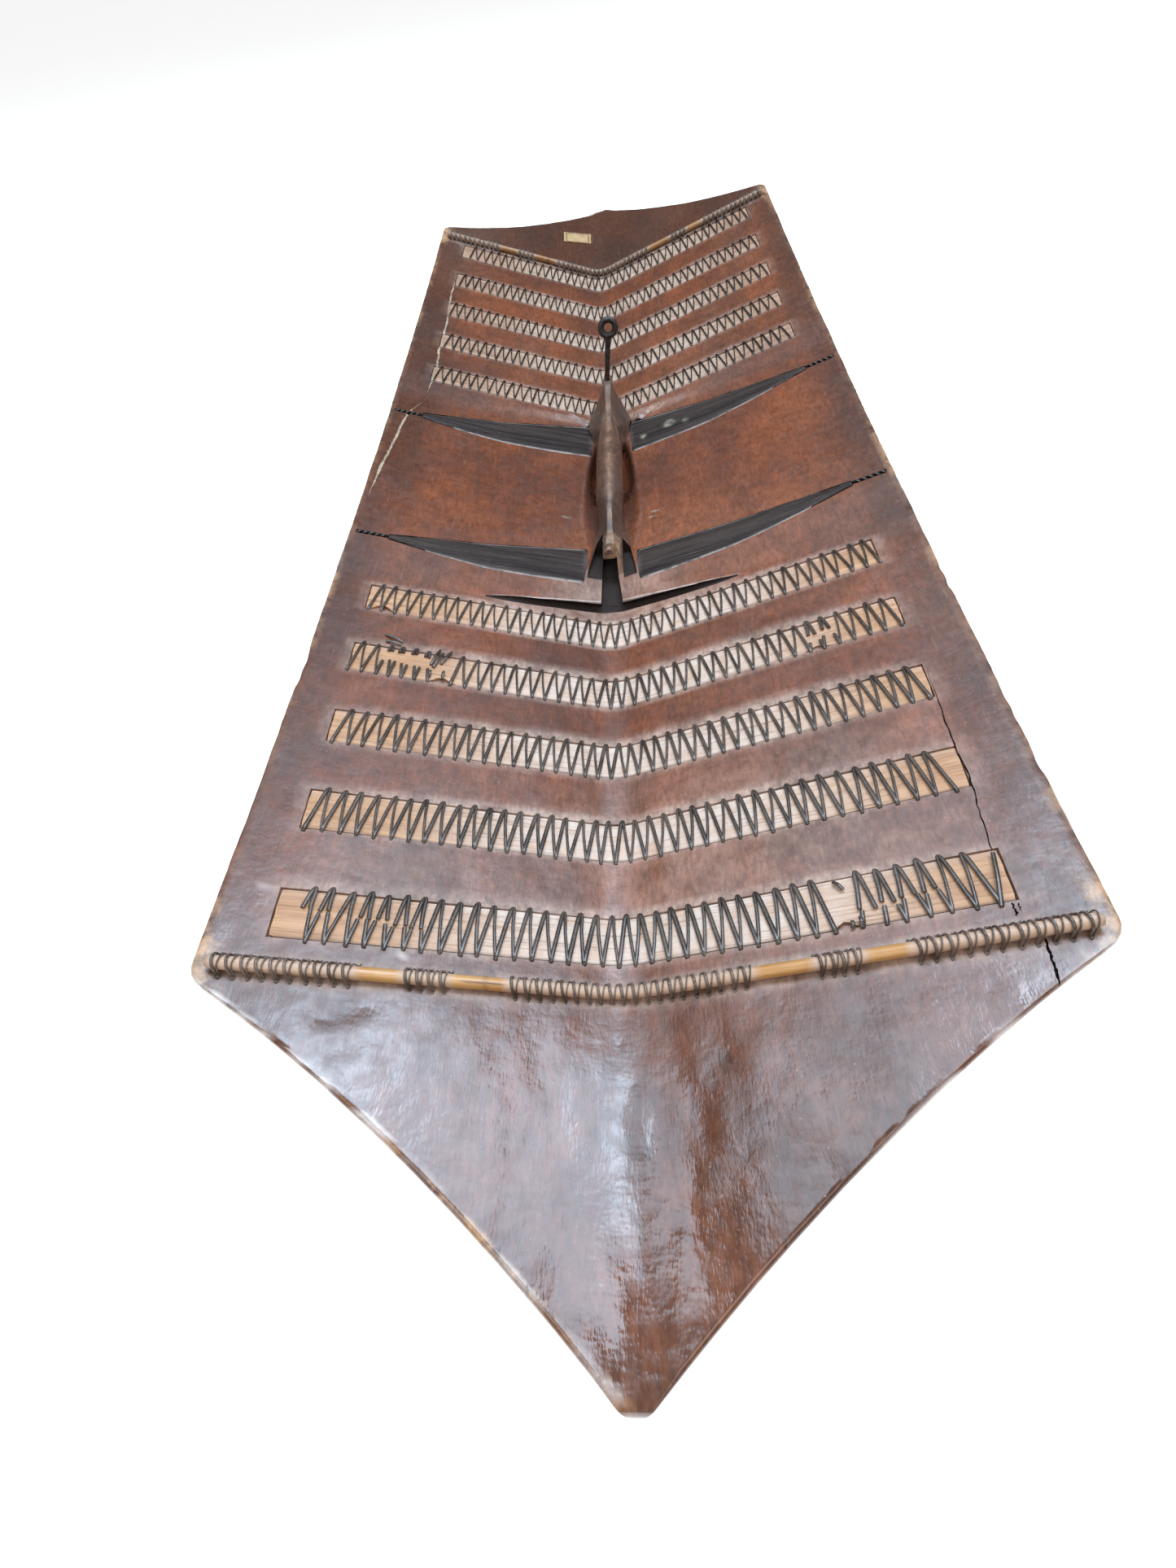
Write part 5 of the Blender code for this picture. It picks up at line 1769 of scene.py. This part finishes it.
# Spots as (x, y, reach)
SMUDGES = ((-0.1272, 0.0035, 0.0090), (-0.1060, 0.0089, 0.0060), (-0.1180, 0.0010, 0.0050))
PALE_MARKS = (
    (-0.0449, -0.0299, 0.0050),
    (0.0356, -0.0343, 0.0045),
    (0.0308, -0.0414, 0.0030),
    (-0.1040, 0.0462, 0.0016),
    (-0.1843, -0.4404, 0.0070),
    (-0.1159, -0.4725, 0.0060),
)


class BoardPlaces:
    """Where the board's points lie, and which parts of the carving they belong to."""

    def __init__(self, board):
        self.x, self.y, z = x, y, z = vertex_places(board).T
        self.noise = Noise(SEEDS["paint"])
        self.blotch = self.noise(x * 9.0, y * 9.0)
        self.top = smooth(z - back_z(x, y), -0.004, -0.002)
        self.side = np.vectorize(lambda value: half_width(value)[0])(y)
        self.to_edge = self.side - np.abs(x)
        self.along = along = y - GRIP_Y
        self.off_axis = off_axis = np.abs(x - handle_axis(along))
        self.from_crease = np.abs(x - CREASE_X)
        self.proud = proud = z - panel_z(x, y)
        self.handle = smooth(proud, 0.0015, 0.004) * (off_axis < 0.04) * (along > -0.13) * (along < 0.17)
        self.stripe = smooth(off_axis, 0.0034, 0.0014) * smooth(proud, 0.020, 0.025)
        self.stripe = self.stripe * (along > SLOT_END - 0.008)
        self.collar = smooth(np.abs(along - SLOT_END + 0.0145), 0.0065, 0.0045)
        self.collar = self.collar * self.handle * (off_axis < 0.0105) * (proud > 0.016)
        self.stub = self.handle * (along < SLOT_END - 0.0185) * (off_axis < 0.0070) * (proud > 0.0125)
        self.hollow = smooth(recess_depth(x, y), 0.0015, 0.004) * self.top
        self.sunken = smooth(recess_depth(x, y), 0.0002, 0.0010) * self.top

    def spots(self, places, flatten, inner):
        """Oval spots given as (x, y, reach)."""
        for u, v, reach in places:
            yield smooth(np.hypot(self.x - u, flatten * (self.y - v)), reach, reach * inner)


def dust_mask(at):
    x, y, along, blotch = at.x, at.y, at.along, at.blotch
    layers = []
    for _, _, middle in STRIPS:
        off = y - middle
        strength = 0.50 if middle > 0 else 0.75
        reach = np.where(x < 0, strip_reach(middle, -1), strip_reach(middle, 1))
        inside = smooth(np.abs(x), reach + 0.006, reach - 0.002)
        inside = inside * (0.55 + 0.45 * smooth(np.abs(x), 0.19, 0.08))
        above = smooth(off, 0.0225 + 0.005 * blotch, 0.0150) * (off > 0)
        below = 0.7 * smooth(-off, 0.0195, 0.0148) * (off < 0)
        layers.append(strength * inside * np.maximum(above, below))
    for end, sign in ENDS:
        off = np.abs(y - sign * rod_y(end))
        layers.append(0.6 * smooth(np.abs(x), 0.20, 0.18) * smooth(off, 0.0105, 0.0050))
    past_lip = y - lip_y(x)
    below_lip = smooth(past_lip, -0.020, -0.010) * (past_lip < 0)
    layers.append(0.44 * below_lip * smooth(at.from_crease, 0.11, 0.08))
    layers.append(0.34 * smooth(along, -0.104, -0.116) * (past_lip > 0) * smooth(at.off_axis, 0.075, 0.020))
    layers.append(0.40 * smooth(np.abs(along - 0.139), 0.010, 0.002) * smooth(at.off_axis, 0.12, 0.03))
    low_film = (0.12 + 0.10 * smooth(x, -0.05, 0.05)) * (0.7 + 0.6 * blotch)
    layers.append(low_film * band(y, -0.465, -0.440, -0.40, -0.30) * smooth(np.abs(x), 0.19, 0.16))
    ground = strongest(np.zeros(len(x)), *layers) * (1 - at.handle)
    return strongest(ground, 0.22 * at.collar, 0.20 * at.stub, 0.16 * at.stripe)


def warm_mask(at):
    y = at.y
    warm = strongest(
        band(at.along, -0.12, -0.095, 0.115, 0.137) * (0.85 + 0.3 * at.blotch),
        0.70 * smooth(y, 0.15, 0.2),
        0.75 * band(y, -0.475, -0.44, -0.38, -0.25),
        0.70 * band(y, -0.475, -0.44, -0.18, -0.14),
    )
    # less warm colour in the recess, part of its painted shade
    return warm * (1 - 0.8 * at.sunken)


# Real dark tone, dents and smudges, together with painted shade towards the top end, in the recess and
# hollows, beside the head's foot and on the prow
def dark_and_painted_shade_mask(at):
    x, y, along = at.x, at.y, at.along
    ground = strongest(
        0.70 * smooth(x, -0.155, -0.19) * smooth(y, -0.16, 0.02),
        0.35 * smooth(x, 0.17, 0.20) * smooth(y, -0.10, 0.05),
        # painted shade: darker towards the top end, standing in for light falling off
        0.72 * smooth(y, 0.40, 0.50),
        (0.36 + 0.10 * smooth(x, 0.0, 0.10)) * smooth(y, -0.45, -0.50),
        0.20 * smooth(at.blotch, 0.25, 0.7),
        0.85 * smooth(np.hypot(x - DENTS[1][0][0], y - DENTS[1][0][1]), 0.006, 0.002),
        0.58 * smooth(np.abs(x) / at.side, 0.82, 0.95) * smooth(np.abs(y), 0.53, 0.48),
        # painted shade beside the foot of the handle's head
        0.60 * smooth(at.off_axis, 0.036, 0.026) * band(along, 0.086, 0.094, 0.136, 0.146),
        0.55 * strongest(*at.spots(SMUDGES, 1.6, 0.3)),
        # painted shade in the shallow recess beside the handle's foot
        0.48 * at.sunken,
        # painted shade in the deep hollow under the bar, darkest at its upper end
        (0.85 + 0.13 * smooth(along, 0.030, 0.055)) * at.hollow,
    )
    # prow's facets darker, the right facet more; that extra on the right is painted shade
    prow = at.handle * smooth(along, 0.085, 0.105) * smooth(at.off_axis, 0.003, 0.008)
    dark = np.maximum(ground * (1 - at.handle), (0.30 + 0.15 * smooth(x, -0.006, 0.006)) * prow)
    return np.maximum(dark * at.top, 0.35 * (1 - at.top))


def wear_mask(at):
    x, y = at.x, at.y
    rim = smooth(at.to_edge, 0.0034, 0.0008) * (0.30 + 0.70 * smooth(at.noise(y * 24.0, x * 3.0), -0.1, 0.4))
    corner = np.hypot(np.abs(x) - SHOULDER_HALF_WIDTH, np.abs(y) - 0.485)
    return strongest(
        0.95 * rim,
        0.9 * smooth(corner, 0.030, 0.012) * smooth(at.to_edge, 0.013, 0.005),
        0.30 * at.stripe * (0.8 + 0.2 * at.noise(y * 60.0, 4.0)),
        0.30 * at.collar,
        0.55 * at.stub,
    )


# Painted highlights on lit edges and ridges, and real pale marks on the wood
def painted_highlight_and_mark_mask(at):
    x, y, along, to_edge = at.x, at.y, at.along, at.to_edge
    past_lip = y - lip_y(x)
    from_recess = np.abs(at.off_axis - np.interp(along, RECESS_ROWS, RECESS_HALF_WIDTHS))
    speckle = 0.5 + 0.5 * at.noise(x * 700.0, y * 700.0)
    # painted highlights on the swell's lip, the recess's edges and the spurs' crests; the pale marks are real
    carved = strongest(
        0.75 * smooth(past_lip, 0.0018, 0.0006) * (past_lip > 0) * smooth(at.from_crease, 0.105, 0.07),
        0.06 * smooth(from_recess, 0.0022, 0.0006) * band(along, -0.09, -0.07, 0.10, 0.125),
        *(0.65 * smooth(spur(x, y, near, far, 1.0, 0.0014), 0.35, 0.9) for far, near in SPURS.values()),
        0.75 * strongest(*at.spots(PALE_MARKS, 2.4, 0.4)) * speckle,
    )
    # painted highlights along the rim, stronger on the lower point's flares
    rim = smooth(to_edge, 0.0020, 0.0008) * smooth(at.noise(y * 60.0, x * 40.0), 0.25, 0.6)
    flare = band(y, -0.585, -0.545, -0.495, -0.488) * smooth(to_edge, 0.0060, 0.0025)
    flare = flare * smooth(at.noise(y * 90.0, x * 90.0), -0.55, -0.10)
    return strongest(carved * (1 - at.handle), 0.45 * rim, 0.80 * flare) * at.top


def gloss_mask(at, warm):
    y = at.y
    return strongest(
        0.55 * smooth(y, -0.46, -0.56) + 0.42 * smooth(y, -0.2, -0.32),
        at.hollow,
        0.5 * smooth(at.to_edge, 0.005, 0.002) * (y < -0.48),
        0.50 * np.clip(warm, 0.0, 1.0) * smooth(y, -0.30, -0.20),
        0.50 * smooth(y, 0.15, 0.20),
    )


def paint_board(board):
    at = BoardPlaces(board)
    warm = warm_mask(at)
    on_bar = band(at.along, -0.06, -0.035, 0.075, 0.105)
    set_mask(board, "dust", dust_mask(at) * at.top)
    set_mask(board, "warm", warm * at.top + 0.35 * (1 - at.top))
    set_mask(board, "grip", at.handle * (0.95 - 0.30 * on_bar))
    # real dark tone and smudges, together with painted shade
    set_mask(board, "dark", dark_and_painted_shade_mask(at))
    set_mask(board, "wear", wear_mask(at))
    # painted highlights and real pale marks
    set_mask(board, "painted_highlight_and_pale_mark", painted_highlight_and_mark_mask(at))
    set_mask(board, "gloss", gloss_mask(at, warm))


# Everything together


def make_all():
    make_board()
    for end, number, middle in STRIPS:
        make_strip(end, number, middle)
        x_from, x_to = STITCH_SPAN[end, number]
        label = f"{end}_{number}"
        lengths = [(x_from, x_to, label)]
        if (end, number) in BROKEN_LACING:
            stop, start = BROKEN_LACING[end, number]
            lengths = [(x_from, stop, f"{label}_left"), (start, x_to, f"{label}_right")]
        for length in lengths:
            make_lacing(end, number, middle, *length)
    for end, sign in ENDS:
        y = sign * rod_y(end)
        make_rod(end, y)
        make_coils(end, y)
        for side, way in SIDES:
            make_batten(end, side, way)
            make_tie(end, side, way)
    make_eye_pin()
    make_patch()


# Floor, lights and camera

FLOOR_SIZE = 12.0
FLOOR_DROP = 0.0002
FLOOR_GLOW = 0.75
WORLD_GLOW = 0.18
WINDOW = (0.66, 0.82, 1.0)
POINT_SPOT = (-0.05, -0.45, 0.05)

# Name, place, target, size, watts, colour
LIGHTS = (
    ("sheen_light", (0.45, 0.30, 1.8), POINT_SPOT, (1.15, 1.00), 29.0, WINDOW),
    ("accent_light", (0.12, 0.52, 1.8), POINT_SPOT, (0.4, 0.4), 4.6, WINDOW),
    ("right_light", (-0.60, 0.47, 1.8), (0.05, -0.50, 0.05), (1.0, 0.56), 7.5, WINDOW),
    ("rim_light_-1", (-1.7, -0.8, 1.8), (0.0, -0.5, 0.05), (0.7, 0.7), 6.0, (0.9, 0.95, 1.0)),
    ("rim_light_1", (1.7, -0.8, 1.8), (0.0, -0.5, 0.05), (0.7, 0.7), 6.0, (0.9, 0.95, 1.0)),
    ("sky_light", (-0.15, 1.05, 1.9), (0.0, -0.2, 0.05), (2.4, 1.4), 15.0, (0.72, 0.86, 1.0)),
    ("front_light", (0.0, -1.5, 2.1), (0.0, 0.0, 0.0), (2.2, 1.6), 27.0, (1.0, 0.96, 0.90)),
)


def make_floor():
    corners = [(x * FLOOR_SIZE, y * FLOOR_SIZE, 0) for x, y in ((-1, -1), (1, -1), (1, 1), (-1, 1))]
    data = bpy.data.meshes.new("studio_floor")
    data.from_pydata(corners, [], [(0, 1, 2, 3)])
    floor = bpy.data.objects.new("studio_floor", data)
    floor.location = (0.0, 0.0, -FLOOR_DROP)
    bpy.context.scene.collection.objects.link(floor)
    look = Look("floor", roughness=0.9, specular=0.1)
    look.shader.inputs["Emission Color"].default_value = (1.0, 1.0, 1.0, 1.0)
    look.shader.inputs["Emission Strength"].default_value = FLOOR_GLOW
    look.colour(look.vary(look.noise(1.5, 2.0), 0.3, 0.7, FLOOR_GREY))
    data.materials.append(look.material)


def make_light(name, place, target, size, power, colour):
    data = bpy.data.lights.new(name, "AREA")
    data.shape = "RECTANGLE"
    data.size, data.size_y = size
    data.energy = power
    data.color = colour
    lamp = bpy.data.objects.new(name, data)
    lamp.location = place
    way = Vector(target) - Vector(place)
    lamp.rotation_euler = way.to_track_quat("-Z", "Y").to_euler()
    bpy.context.scene.collection.objects.link(lamp)


def make_studio():
    make_floor()
    for light in LIGHTS:
        make_light(*light)
    world = bpy.data.worlds.new("studio")
    world.use_nodes = True
    background = world.node_tree.nodes["Background"]
    background.inputs["Color"].default_value = (1.0, 1.0, 1.0, 1.0)
    background.inputs["Strength"].default_value = WORLD_GLOW
    bpy.context.scene.world = world
    bpy.context.scene.view_settings.view_transform = "Standard"


def make_camera():
    data = bpy.data.cameras.new("camera")
    data.lens = CAMERA_LENS
    data.clip_start = 0.01
    camera = bpy.data.objects.new("camera", data)
    camera.location = CAMERA_PLACE
    camera.rotation_euler = CAMERA_TURN
    bpy.context.scene.collection.objects.link(camera)
    bpy.context.scene.camera = camera


make_camera()
make_all()
make_studio()
